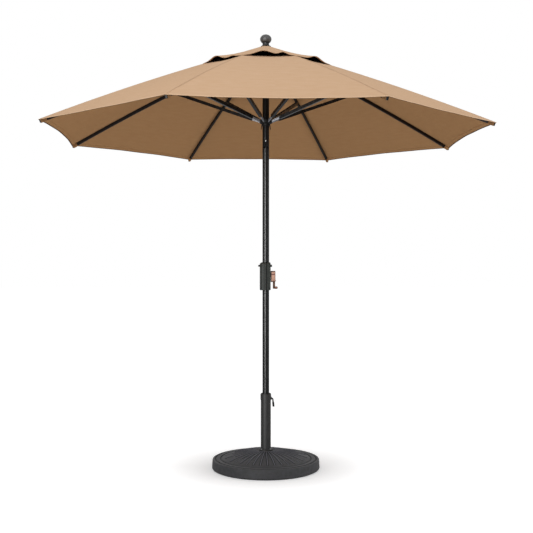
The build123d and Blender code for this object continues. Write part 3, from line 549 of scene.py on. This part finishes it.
cloth_top = woven("cloth_top", srgb(210, 173, 138), srgb(215, 180, 147), 0.0002, 0.85, 0.05)
cloth_under = woven("cloth_under", srgb(184, 139, 97), srgb(189, 145, 102), 0.0002, 0.9, 0.0)
binding = woven("binding", srgb(190, 152, 118), srgb(204, 168, 134), 0.0003)
edging = woven("edging", srgb(88, 58, 44), srgb(100, 68, 50), 0.0003, 0.9, 0.0)
pocket_brown = woven("pocket_brown", srgb(172, 130, 90), srgb(184, 142, 100), 0.0005, 0.9, 0.0)
# A paler copy of the top cloth: painted highlight on the folded tape.
hem_light = woven("hem_light", srgb(224, 188, 150), srgb(230, 196, 160), 0.0003)
# The net's black also lines the flap's underside, as painted shade.
net_black = woven("net_black", srgb(10, 8, 7), srgb(18, 14, 12), 0.0004, 0.95, 0.0)
print("a wave of the weave is", round(WEAVE_STEP, 4), "wide")

# %% [markdown]
# The height of the cloth over the ribs is read from the CAD gores: a ray goes down, or up, onto
# one gore close to its rib, at a row of distances from the pole. Between two ribs the cloth runs
# level and straight, so one such row of heights is enough for the whole canopy.

# %% Heights of the cloth over a rib
VENT_RADIUS = 0.330
FLAP_RADIUS = 0.380
FLAP_HOLE = 0.0095
ROW_MARGIN = 0.001
SEAM_SIDE_STEP = 0.0004
HIGH_ABOVE, LOW_BELOW = 3.0, 1.5


def height_row(node, radii, from_above):
    """Heights of a gore's upper or lower side over its rib."""
    rows = []
    piece = nodes[node]
    azimuth = azimuth_of(1)
    along = Vector((math.cos(azimuth), math.sin(azimuth), 0))
    aside = Vector((-along.y, along.x, 0)) * SEAM_SIDE_STEP
    for radius in radii:
        start = along * radius + aside
        start.z = HIGH_ABOVE if from_above else LOW_BELOW
        way = Vector((0, 0, -1 if from_above else 1))
        hit, place, _, _ = piece.ray_cast(start, way)
        if hit:
            rows.append((radius, place.z))
    return np.array(rows)


panel_radii = np.linspace(VENT_RADIUS + ROW_MARGIN, tip_radius - ROW_MARGIN, 60)
flap_radii = np.linspace(FLAP_HOLE, FLAP_RADIUS - ROW_MARGIN, 30)
panel_row = height_row("canopy_gore_1", panel_radii, from_above=False)
flap_row = height_row("canopy_gore_1", flap_radii, from_above=True)
print("panel from", panel_row[0].round(4), "to", panel_row[-1].round(4))
print("flap from", flap_row[0].round(4), "to", flap_row[-1].round(4))


def row_height(row, radius):
    """Height on a row, carried on straight past its two ends."""
    first, last = row[0], row[-1]
    if radius <= first[0]:
        slope = (row[1][1] - first[1]) / (row[1][0] - first[0])
        return first[1] + slope * (radius - first[0])
    if radius >= last[0]:
        slope = (last[1] - row[-2][1]) / (last[0] - row[-2][0])
        return last[1] + slope * (radius - last[0])
    return float(np.interp(radius, row[:, 0], row[:, 1]))


# %% [markdown]
# A gore is the cloth that one rib carries: half a panel to its left and half to its right. It is
# made as a flat grid, and every point is then moved to its place. `out` runs from 0 at the inner
# edge to 1 at the outer one, and `inward` from 0 at the rib to 1 at the middle of the panel, where
# the next gore takes over. `across` runs over the whole panel, from -1 to 1. What the cloth does,
# its sag and its ripples, depends only on the panel and on `across`, so the two halves meet.

# %% Laying a grid on the canopy
COS_HALF = math.cos(HALF)
SIN_HALF = math.sin(HALF)
TAN_HALF = math.tan(HALF)


def plan_point(number, level, inward, side):
    """Point of the plan of rib `number`'s gore, `level` being the distance along mid-panel."""
    run = (1 - inward) * level * TAN_HALF
    x = level * COS_HALF + run * SIN_HALF
    y = side * (level * SIN_HALF - run * COS_HALF)
    azimuth = azimuth_of(number)
    return (
        x * math.cos(azimuth) - y * math.sin(azimuth),
        x * math.sin(azimuth) + y * math.cos(azimuth),
    )


def lay_grid(name, number, rows, columns, place):
    """A grid whose points are laid by place(out, inward, panel, across) -> (level, height)."""
    bpy.ops.object.select_all(action="DESELECT")
    bpy.ops.mesh.primitive_grid_add(x_subdivisions=2 * columns, y_subdivisions=rows, size=1)
    piece = bpy.context.active_object
    flat = []
    for vertex in piece.data.vertices:
        out = vertex.co.y + 0.5
        turn = 2 * vertex.co.x
        side = 1 if turn >= 0 else -1
        inward = abs(turn)
        panel = number if side > 0 else (number - 2) % RIBS + 1
        across = -side * (1 - inward)
        level, height = place(out, inward, panel, across)
        x, y = plan_point(number, level, inward, side)
        vertex.co = (x, y, height)
        flat.append((side * (level * TAN_HALF * inward), level / COS_HALF))
    layer = piece.data.uv_layers.active.data
    for loop in piece.data.loops:
        layer[loop.index].uv = flat[loop.vertex_index]
    only(piece)
    bpy.ops.object.mode_set(mode="EDIT")
    bpy.ops.mesh.select_all(action="SELECT")
    bpy.ops.mesh.normals_make_consistent(inside=False)
    bpy.ops.object.mode_set(mode="OBJECT")
    if sum(polygon.normal.z for polygon in piece.data.polygons) < 0:
        piece.data.flip_normals()
    piece.name = name
    return piece


print("a panel spans", round(2 * tip_radius * SIN_HALF, 3), "between two tips")

# %% [markdown]
# The panels are cut a little hollow at the hem, which keeps them tight, and yet the cloth sags
# between its ribs. The sag is deepest at the hem and at the slack edge round the vent, and the
# panel at the front hangs slacker than the others. Fine ripples run in from the corners, where
# the pull is strongest. A cloth simulation could give such a shape too, but a formula gives the
# same one every time, and the two gores that share a panel can use it alike.

# %% The shape of a panel
SCALLOP = 0.024
HEM_SAG = 0.008
NEAR_PANEL = 6
NEAR_SAG = 0.021
VENT_SAG = 0.009
MIDDLE_SAG = 0.003
RIPPLE = 0.0007
RIPPLES_ACROSS, RIPPLES_OUT, PANEL_SHIFT = 9, 5.0, 1.7
PAST_TIP = 1.05
CLOTH = 0.0012
PANEL_ROWS = 44
PANEL_COLUMNS = 18
vent_level = VENT_RADIUS * COS_HALF


def hem_level(inward):
    """Distance of the hem along mid-panel, from the tip to the middle of the scallop."""
    return tip_radius * COS_HALF - SCALLOP * (1 - (1 - inward) ** 2)


def panel_height(level, across, panel):
    """Height of the cloth's lower side."""
    radius = level / COS_HALF
    out = (radius - VENT_RADIUS) / (tip_radius - VENT_RADIUS)
    out = min(max(out, 0), PAST_TIP)
    hem_sag = NEAR_SAG if panel == NEAR_PANEL else HEM_SAG
    sag = MIDDLE_SAG + (hem_sag - MIDDLE_SAG) * out**3 + (VENT_SAG - MIDDLE_SAG) * (1 - out) ** 6
    slack = 1 - across * across
    ripple = RIPPLE * math.sin(RIPPLES_ACROSS * across + PANEL_SHIFT * panel) * out**2 * slack
    ripple += RIPPLE * math.sin(RIPPLES_OUT * out * math.pi + panel) * slack**2
    return row_height(panel_row, radius) - sag * slack + ripple


def place_panel(out, inward, panel, across):
    """A point of a panel, from the vent to the hem."""
    level = vent_level + out * (hem_level(inward) - vent_level)
    return level, panel_height(level, across, panel)


print("hem scallop", SCALLOP, "deepest sag", NEAR_SAG)

# %% [markdown]
# Every sewn piece is made by the same steps. Its area is measured while it is still a single
# sheet, because that is the cloth that was cut. Then Solidify gives it its thickness, upwards with
# `side` 1 and downwards with -1, and a second material goes to the side that stays behind.

# %% Sewing a piece
ABOVE, BELOW = 1.0, -1.0


def sew(name, number, rows, columns, place, materials, thickness, side):
    """Makes one piece of cloth of a gore, and measures the sheet that it was cut from."""
    piece = lay_grid(f"{name}_{number}", number, rows, columns, place)
    for material in materials:
        piece.data.materials.append(material)
    area = sum(polygon.area for polygon in piece.data.polygons)
    thicken(piece, thickness, side, inner_slot=len(materials) > 1)
    return smooth(settle(piece, f"{name}_{number}"), 50), area


print("sides for thickening: above", ABOVE, "below", BELOW)

# %% [markdown]
# The panels are the main cloth. They are thickened upwards, so that the side that was laid on the
# ribs stays on them, and that side gets the browner material.

# %% Panels
panels = {}
panel_area = {}
for number in range(1, RIBS + 1):
    panels[number], panel_area[number] = sew(
        "panel", number, PANEL_ROWS, PANEL_COLUMNS, place_panel, (cloth_top, cloth_under),
        CLOTH, ABOVE,
    )
print("panel area", round(panel_area[1], 4), "square metres")

# %% [markdown]
# Strips are sewn along the edges of the cloth: a hem under each of the two, and a tape folded
# round the outer one. A strip is laid like the panel, but its own grid is narrow, and it follows
# its edge at an even width. The tape's first rows of faces lie on top and are pale, a painted
# highlight on the fold, and the rest come back below and are brown.

# %% Hems and edging
HEM_WIDTH = 0.022
VENT_HEM_SHARE = 0.7
HEM_ROWS = 4
HEM_CLOTH = 0.0011
STITCH_GAP = 0.0001
EDGING_WIDTH = 0.006
EDGING_TURN = 0.0012
EDGING_ROWS = 8
EDGING_CLOTH = 0.0006
EDGING_OVER, EDGING_UNDER = 0.0003, 0.0004


def place_hem(out, inward, panel, across):
    """The hem lies under the cloth, along its outer edge."""
    level = hem_level(inward) - HEM_WIDTH * (1 - out)
    return level, panel_height(level, across, panel) - STITCH_GAP


def place_vent_hem(out, inward, panel, across):
    """A narrower hem lies under the edge round the vent."""
    level = vent_level + HEM_WIDTH * VENT_HEM_SHARE * out
    return level, panel_height(level, across, panel) - STITCH_GAP


def place_edging(out, inward, panel, across):
    """A tape folded round the edge: up to 0.5 it lies on top, and then it comes back below."""
    from_fold = abs(2 * out - 1)
    level = hem_level(inward) + EDGING_TURN - EDGING_WIDTH * from_fold
    rise = CLOTH + EDGING_OVER if out < 0.5 else -HEM_CLOTH - EDGING_UNDER
    if from_fold < 0.01:
        rise = 0.0
    return level, panel_height(level, across, panel) + rise


hems = {}
for number in range(1, RIBS + 1):
    made = []
    for name, place in (("hem", place_hem), ("vent_hem", place_vent_hem)):
        strip, _ = sew(
            name, number, HEM_ROWS, PANEL_COLUMNS, place, (cloth_under,), HEM_CLOTH, BELOW
        )
        made.append(strip)
    tape = lay_grid(f"hem_edging_{number}", number, EDGING_ROWS, PANEL_COLUMNS, place_edging)
    tape.data.materials.append(hem_light)
    tape.data.materials.append(edging)
    for polygon in tape.data.polygons:
        rows = [vertex // (2 * PANEL_COLUMNS + 1) for vertex in polygon.vertices]
        polygon.material_index = 0 if max(rows) <= EDGING_ROWS // 2 else 1
    thicken(tape, EDGING_CLOTH, 0.0)
    made.append(smooth(settle(tape, f"hem_edging_{number}"), 60))
    hems[number] = made
print("strips along the edges", sum(len(made) for made in hems.values()))

# %% [markdown]
# The seam over a rib is a doubled strip, rounded by its filling of cloth. A grid as wide as the
# gore is laid flat first. Every point keeps its distance from the pole, and its distance from the
# rib is then drawn in to the width of the seam.

# %% Seams over the ribs
SEAM_WIDTH = 0.015
SEAM_COLUMNS = 4
SEAM_CLOTH = 0.0008
SEAM_RISE, SEAM_SINK = 0.0009, 0.0003
SIDE_FALL = 0.448
TIP_MARGIN = 0.001


def place_seam(out, inward, panel, across):
    """A flat start for a seam, from the vent to the tip."""
    end = tip_radius * COS_HALF - TIP_MARGIN
    return vent_level + out * (end - vent_level), 0.0


seams = {}
for number in range(1, RIBS + 1):
    azimuth = azimuth_of(number)
    strip = lay_grid(f"seam_{number}", number, PANEL_ROWS, SEAM_COLUMNS, place_seam)
    for vertex in strip.data.vertices:
        radius = vertex.co.x * math.cos(azimuth) + vertex.co.y * math.sin(azimuth)
        aside = -vertex.co.x * math.sin(azimuth) + vertex.co.y * math.cos(azimuth)
        share = aside / (radius * TAN_HALF)
        offset = share * SEAM_WIDTH / 2
        height = row_height(panel_row, radius) + CLOTH - abs(offset) * SIN_HALF * SIDE_FALL
        rounded = SEAM_RISE * (1 - share**4) - SEAM_SINK
        vertex.co = (
            radius * math.cos(azimuth) - offset * math.sin(azimuth),
            radius * math.sin(azimuth) + offset * math.cos(azimuth),
            height + rounded,
        )
    strip.data.materials.append(binding)
    thicken(strip, SEAM_CLOTH, BELOW)
    seams[number] = smooth(settle(strip, f"seam_{number}"), 50)
print("seams", len(seams), "each", SEAM_WIDTH, "wide")

# %% [markdown]
# ## The vent
# A second, smaller cap covers the hole at the top of the canopy. It is sewn down at the ribs and
# left open between them, so that wind can leave. Its free edges stand up in a few rounded lobes,
# which differ from panel to panel. Each lobe is a bell curve across the panel that grows towards
# the edge, and it fades at the ribs, where the flap is sewn.

# %% The shape of the flap
FLAP_ROWS = 22
FLAP_START = 0.0262
FLAP_BILLOW = 0.004
FLAP_EDGE_WIDTH = 0.012
LOBES = {
    NEAR_PANEL: ((-0.20, 0.40, 0.023), (0.54, 0.20, 0.018)),
    NEAR_PANEL - 1: ((-0.35, 0.34, 0.025), (0.55, 0.18, 0.007)),
    NEAR_PANEL + 1: ((0.15, 0.38, 0.022),),
}
PLAIN_LOBES = ((-0.30, 0.36, 0.020), (0.48, 0.24, 0.015))
flap_inner, flap_outer = FLAP_START * COS_HALF, FLAP_RADIUS * COS_HALF


def flap_lift(out, across, panel):
    """How far the flap stands off its plain cone. A lobe is its middle, width and height."""
    slack = (1 - across * across) ** 0.5 if abs(across) < 1 else 0.0
    lobes = LOBES.get(panel)
    if lobes is None:
        way = 1 if panel % 2 else -1
        lobes = tuple((way * middle, width, height) for middle, width, height in PLAIN_LOBES)
    lift = FLAP_BILLOW * out**2
    for middle, width, height in lobes:
        lift += height * math.exp(-(((across - middle) / width) ** 2)) * out**3
    return slack * lift


def flap_height(level, out, across, panel):
    """Height of the flap's lower side."""
    return row_height(flap_row, level / COS_HALF) - CLOTH + flap_lift(out, across, panel)


def place_flap(out, inward, panel, across):
    """A point of the flap, from the finial's neck to the free edge."""
    level = flap_inner + out * (flap_outer - flap_inner)
    return level, flap_height(level, out, across, panel)


def place_flap_edge(out, inward, panel, across):
    """The hem lies under the flap's free edge."""
    level = flap_outer - FLAP_EDGE_WIDTH * (1 - out)
    share = (level - flap_inner) / (flap_outer - flap_inner)
    return level, flap_height(level, share, across, panel) - STITCH_GAP


print("the flap reaches", round(FLAP_RADIUS - VENT_RADIUS, 3), "past the vent")

# %% [markdown]
# The flap is sewn as the panels are. Its underside gets the net's black as painted shade, because
# it faces the net and no light comes there, and a hem follows its free edge.

# %% Vent flap
FLAP_EDGE_ROWS = 3
FLAP_EDGE_CLOTH = 0.0009
flaps = {}
flap_edges = {}
flap_area = {}
for number in range(1, RIBS + 1):
    flaps[number], flap_area[number] = sew(
        "flap", number, FLAP_ROWS, PANEL_COLUMNS, place_flap, (cloth_top, net_black),
        CLOTH, ABOVE,
    )
    flap_edges[number], _ = sew(
        "flap_edge", number, FLAP_EDGE_ROWS, PANEL_COLUMNS, place_flap_edge, (binding,),
        FLAP_EDGE_CLOTH, BELOW,
    )
print("flap area", round(flap_area[1], 4), "square metres")

# %% [markdown]
# A black net closes the vent under the flap, from the rim of the hub to the hem round the vent.
# It is so fine that its holes don't show, so it is a thin black sheet that sags with the cloth.

# %% Vent net
NET_TOP_RADIUS = 0.040
NET_FOOT_RADIUS = VENT_RADIUS + 0.006
NET_ROWS, NET_COLUMNS = 12, 10
NET_CLOTH = 0.0005
NET_DROP = 0.0006
NET_SAG = 0.004
HUB_RIM = 0.0235
hub_low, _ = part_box("top_hub")
net_top = hub_low.z + HUB_RIM + NET_CLOTH


def place_net(out, inward, panel, across):
    """A point of the net, from the hub's rim to just past the edge of the vent."""
    start, end = NET_TOP_RADIUS * COS_HALF, NET_FOOT_RADIUS * COS_HALF
    level = start + out * (end - start)
    foot = row_height(panel_row, NET_FOOT_RADIUS) - NET_DROP
    height = net_top + (foot - net_top) * out
    slack = 1 - across * across
    return level, height - slack * (NET_SAG * math.sin(math.pi * out) + VENT_SAG * out**2)


nets = {}
net_area = {}
for number in range(1, RIBS + 1):
    nets[number], net_area[number] = sew(
        "net", number, NET_ROWS, NET_COLUMNS, place_net, (net_black,), NET_CLOTH, ABOVE
    )
print("net from", round(net_top, 4), "on the hub, area", round(net_area[1], 4))

# %% [markdown]
# A small pocket of folded cloth holds each rib near its end, and so pulls the corner of the
# canopy tight. One is modelled at the origin: a cube with its nose at x = 0 loses its top and its
# inner end, where the rib comes in.

# %% Open box for a rib pocket
POCKET_LENGTH = 0.032
POCKET_WIDTH = 0.0132
POCKET_DEPTH = 0.0202
bpy.ops.object.select_all(action="DESELECT")
bpy.ops.mesh.primitive_cube_add(size=1, location=(-0.5, 0, -0.5))
model = bpy.context.active_object
bpy.ops.object.transform_apply(location=True, rotation=False, scale=False)
model.scale = (POCKET_LENGTH, POCKET_WIDTH, POCKET_DEPTH)
bpy.ops.object.transform_apply(location=False, rotation=False, scale=True)
bpy.ops.object.mode_set(mode="EDIT")
bpy.ops.mesh.select_mode(type="FACE")
bpy.ops.mesh.select_all(action="DESELECT")
bpy.ops.object.mode_set(mode="OBJECT")
for polygon in model.data.polygons:
    polygon.select = polygon.normal.z > 0.9 or polygon.normal.x < -0.9
bpy.ops.object.mode_set(mode="EDIT")
bpy.ops.mesh.delete(type="FACE")
bpy.ops.object.mode_set(mode="OBJECT")
print("walls of the open box", len(model.data.polygons))

# %% [markdown]
# Cloth has no sharp corners, so the edges below and round the nose are rounded by a bevel. The
# rims stay as they are. The box is a sheet so far, and Solidify gives it its thickness outwards,
# so that the rib still fits inside.

# %% Rounded walls of the pocket
OUTWARDS = 1.0
POCKET_WALL = 0.0010
POCKET_ROUNDING = 0.0030
RIM_MARGIN = 0.001
bpy.ops.object.mode_set(mode="EDIT")
bpy.ops.mesh.select_mode(type="EDGE")
bpy.ops.mesh.select_all(action="DESELECT")
bpy.ops.object.mode_set(mode="OBJECT")
for edge in model.data.edges:
    ends = [model.data.vertices[index].co for index in edge.vertices]
    low = all(end.z < -POCKET_DEPTH / 2 for end in ends)
    front = all(end.x > -POCKET_LENGTH / 2 for end in ends)
    inner = all(end.x < -POCKET_LENGTH / 2 for end in ends)
    rim = all(end.z > -RIM_MARGIN for end in ends)
    edge.select = (low or front) and not inner and not rim
bpy.ops.object.mode_set(mode="EDIT")
bpy.ops.mesh.bevel(offset=POCKET_ROUNDING, segments=3)
bpy.ops.object.mode_set(mode="OBJECT")
thicken(model, POCKET_WALL, OUTWARDS)
model.data.materials.append(pocket_brown)
print("pocket faces", len(model.data.polygons))

# %% [markdown]
# The pocket is then copied to the eight tips, each copy with its own mesh, and tipped to the slope
# of the cloth there. Last, the one at the origin is removed.

# %% Pockets at the tips
NOSE_FROM_TIP = 0.0058
SLOPE_RUN = 0.03
nose_radius = tip_radius - NOSE_FROM_TIP
nose_height = row_height(panel_row, nose_radius)
slope_rise = row_height(panel_row, nose_radius - SLOPE_RUN) - nose_height
tip_slope = math.atan2(slope_rise, SLOPE_RUN)
pockets = {}
for number in range(1, RIBS + 1):
    azimuth = azimuth_of(number)
    pocket = model.copy()
    pocket.data = model.data.copy()
    bpy.context.collection.objects.link(pocket)
    pocket.rotation_euler = (0, tip_slope, azimuth)
    nose_x, nose_y = nose_radius * math.cos(azimuth), nose_radius * math.sin(azimuth)
    pocket.location = (nose_x, nose_y, nose_height)
    pockets[number] = smooth(settle(pocket, f"rib_pocket_{number}"), 40)
bpy.data.objects.remove(model)
print("pocket slope", round(math.degrees(tip_slope), 2))

# %% [markdown]
# All cloth rides on the rib that carries it, so it swings down as the canopy closes. The real
# cloth falls in folds between the ribs. The narrow seams and pockets lie along the rib.


def cloth_piece(piece, number):
    """Lets a piece of cloth ride on its rib, on a mesh of its own."""
    azimuth = azimuth_of(number)
    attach(piece, f"rib_{number}")
    anchor = Vector((math.cos(azimuth), math.sin(azimuth), 0)) * hinge_radius
    anchor.z = hinge.z
    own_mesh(piece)


# %% [markdown]
# Every rib gets its cloth. A panel stands for the plain gore of the CAD model, and the strips sewn
# to it come with it. The areas of the first rib's sheets are printed.

# %% Cloth on its ribs
for number in range(1, RIBS + 1):
    tapes = [seams[number], pockets[number]]
    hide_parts(f"canopy_gore_{number}")
    for piece in (panels[number], *hems[number]):
        cloth_piece(piece, number)
    for piece in tapes:
        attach(piece, f"rib_{number}")
    for piece in (flaps[number], flap_edges[number], nets[number]):
        cloth_piece(piece, number)
print("areas", round(panel_area[1], 4), round(flap_area[1], 4), round(net_area[1], 4))

# %% [markdown]
# ## The finial
# The cap on top is a cast ball, a little flattened, with a pebbled skin and a dark neck that
# flares onto the cloth. The CAD model has a plain ball, so this piece stands for it: half its
# outline is worked out from the top down to the stud in the pole, as pairs of radius and height.

# %% Outline of the finial
BALL_HEIGHT = 0.054
BALL_STEPS = 14
NECK_RADIUS = 0.0185
NECK_LENGTH = 0.004
NECK_OVERLAP = 0.0035
SEAT_RADIUS, SEAT_GAP = 0.026, 0.0004
FLARE = (
    (NECK_RADIUS + 0.0015, 0.007), (0.0270, 0.0030), (0.0305, -0.0004), (0.0298, -0.0014),
    (0.009, 0.004), (0.007, 0.002),
)
STUD = ((0.0070, 0.002), (0.0050, 0.0), (0.0, 0.0))
finial_low, finial_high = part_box("finial")
ball_radius = (finial_high.x - finial_low.x) / 2
top = finial_high.z
middle = top - BALL_HEIGHT / 2
neck_top = top - BALL_HEIGHT + NECK_OVERLAP
seat = row_height(flap_row, SEAT_RADIUS) + SEAT_GAP
outline = [(0.0, top)]
for index in range(1, BALL_STEPS):
    angle = math.pi / 2 - math.pi * index / BALL_STEPS
    radius = ball_radius * math.cos(angle)
    if radius > NECK_RADIUS or angle > 0:
        outline.append((radius, middle + BALL_HEIGHT / 2 * math.sin(angle)))
outline += [(NECK_RADIUS, neck_top), (NECK_RADIUS, neck_top - NECK_LENGTH)]
outline += [(radius, seat + rise) for radius, rise in FLARE]
outline += [(radius, finial_low.z + rise) for radius, rise in STUD]
print("outline points", len(outline), "ball", round(2 * ball_radius, 4), "across")

# %% [markdown]
# A plane is merged into a single point, which is extruded along the outline, and the chain is
# spun once round the pole's axis. Its first and last points lie on the axis, so the copies that
# the spin makes of them are merged.

# %% Spinning the finial
SPIN_STEPS = 40
DOUBLES = 0.00005
bpy.ops.object.select_all(action="DESELECT")
bpy.ops.mesh.primitive_plane_add(size=0.01)
finial = bpy.context.active_object
bpy.ops.object.mode_set(mode="EDIT")
bpy.ops.mesh.select_mode(type="VERT")
bpy.ops.mesh.select_all(action="SELECT")
bpy.ops.mesh.merge(type="CENTER")
bpy.ops.object.mode_set(mode="OBJECT")
finial.data.vertices[0].co = (outline[0][0], 0, outline[0][1])
for (x0, z0), (x1, z1) in zip(outline, outline[1:]):
    bpy.ops.object.mode_set(mode="EDIT")
    bpy.ops.mesh.extrude_region_move(TRANSFORM_OT_translate={"value": (x1 - x0, 0, z1 - z0)})
    bpy.ops.object.mode_set(mode="OBJECT")
bpy.ops.object.mode_set(mode="EDIT")
bpy.ops.mesh.select_all(action="SELECT")
bpy.ops.mesh.spin(
    steps=SPIN_STEPS, angle=2 * math.pi, center=(0, 0, 0), axis=(0, 0, 1), use_auto_merge=True,
)
bpy.ops.mesh.select_all(action="SELECT")
bpy.ops.mesh.remove_doubles(threshold=DOUBLES)
bpy.ops.mesh.normals_make_consistent(inside=False)
bpy.ops.object.mode_set(mode="OBJECT")
print("finial points", len(finial.data.vertices))

# %% [markdown]
# The ball is pale where its pebbles are worn, and the neck and the flare below it are near black.
# The neck is a mask by height. The piece then takes the place of the plain ball, and rides on the
# upper pole, which tilts.

# %% Finish and place of the finial
NECK_SHADE, NECK_SOFTNESS = 0.006, 0.003
tree = finial_grey.node_tree
_, _, height, _ = place_parts(tree)
neck = below_mask(tree, height, neck_top + NECK_SHADE, NECK_SOFTNESS)
blend_over(finial_grey, neck, srgb(14, 13, 12))
finial.data.materials.append(finial_grey)
finial = smooth(settle(finial, "finial_ball"), 40)
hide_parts("finial")
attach(finial, "upper_pole")
print("finial from", round(finial_low.z, 4), "to", round(top, 4))

# %% [markdown]
# ## Studio
# The floor is a sheet of white paper. Light alone would leave it grey in the distance, so it also
# glows a little for the camera. The glow is weaker close to the stand, which darkens the floor
# there as a painted shadow, on top of the real one. The glow starts and ends softly, and no other
# ray sees it, so it doesn't light the object.

# %% Floor
PAPER = (0.785, 0.80, 0.815, 1)
GLOW_START, GLOW_END = 0.20, 0.78
GLOW_NEAR, GLOW_FAR = 0.335, 0.64
bpy.ops.object.select_all(action="DESELECT")
bpy.ops.mesh.primitive_plane_add(size=60, location=(0, 12, 0))
floor = settle(bpy.context.active_object, "floor")
white = bpy.data.materials.new("studio_white")
white.use_nodes = True
tree = white.node_tree
shader = tree.nodes["Principled BSDF"]
shader.inputs["Base Color"].default_value = PAPER
shader.inputs["Roughness"].default_value = 1.0
shader.inputs["Specular IOR Level"].default_value = 0.0
rays = tree.nodes.new("ShaderNodeLightPath").outputs
glow = tree.nodes.new("ShaderNodeEmission")
glow.inputs["Color"].default_value = (1, 1, 1, 1)
_, _, _, from_stand = place_parts(tree)
spread = span(tree, from_stand, GLOW_NEAR, GLOW_FAR)
spread.interpolation_type = "SMOOTHERSTEP"
spread.inputs["From Min"].default_value = GLOW_START
spread.inputs["From Max"].default_value = GLOW_END
strength = math_node(tree, "MULTIPLY", spread.outputs["Result"], rays["Is Camera Ray"])
tree.links.new(strength, glow.inputs["Strength"])
both = tree.nodes.new("ShaderNodeAddShader")
link(tree, shader, "BSDF", both, 0)
link(tree, glow, "Emission", both, 1)
link(tree, both, "Shader", tree.nodes["Material Output"], "Surface")
floor.data.materials.append(white)
print("floor glows from", GLOW_NEAR, "at the stand to", GLOW_FAR)

# %% [markdown]
# The world is white to the camera and to reflections, and a weaker light to all else. A broad key
# lamp hangs high in front, a little to the left. A tall window at the left is seen by reflections
# alone: it draws the bright line down the poles and doesn't light the cloth. A narrow strip at the
# right lights the other edge.

# %% World and lamps
DOME_LIGHT = 0.54
world = bpy.data.worlds.new("studio")
bpy.context.scene.world = world
world.use_nodes = True
tree = world.node_tree
back = tree.nodes["Background"]
back.inputs["Color"].default_value = (1, 1, 1, 1)
rays = tree.nodes.new("ShaderNodeLightPath").outputs
seen = math_node(tree, "MAXIMUM", rays["Is Camera Ray"], rays["Is Glossy Ray"])
link(tree, span(tree, seen, DOME_LIGHT, 1.0), "Result", back, "Strength")


def lamp(name, place, target, size, power, gloss_only=False):
    """A soft rectangular lamp that faces a point."""
    bpy.ops.object.light_add(type="AREA", location=place)
    light = bpy.context.active_object
    light.name = name
    light.data.shape = "RECTANGLE"
    light.data.size, light.data.size_y = size
    light.data.energy = power
    way = Vector(target) - Vector(place)
    light.rotation_euler = way.to_track_quat("-Z", "Y").to_euler()
    light.visible_diffuse = not gloss_only


lamp("key", (-1.0, -3.8, 6.0), (0, 0, 1.8), (3.0, 3.0), 125)
lamp("left_window", (-1.55, -3.1, 1.5), (0, 0, 1.2), (1.3, 3.0), 420, gloss_only=True)
lamp("right_strip", (3.4, -0.6, 1.6), (0, 0, 1.2), (0.5, 3.0), 24)

# %% [markdown]
# The camera looks level at the middle of the umbrella, from about five metres away and a couple of
# degrees from its front, so that it sees the canopy's underside and the stand's top at once.

# %% Camera
CAMERA_DISTANCE = 5.041
CAMERA_HEIGHT = 1.142
CAMERA_TURN = math.radians(2.5)
LENS = 60.1
FRAME_SHIFT = 0.0013
bpy.ops.object.camera_add(
    location=(
        -CAMERA_DISTANCE * math.sin(CAMERA_TURN),
        -CAMERA_DISTANCE * math.cos(CAMERA_TURN),
        CAMERA_HEIGHT,
    ),
    rotation=(math.pi / 2, 0, -CAMERA_TURN),
)
camera = bpy.context.active_object
camera.data.lens = LENS
camera.data.sensor_width = 36
camera.data.shift_x = FRAME_SHIFT
bpy.context.scene.camera = camera
bpy.context.scene.view_settings.view_transform = "Standard"
print("camera", [round(value, 3) for value in camera.location], "lens", LENS)
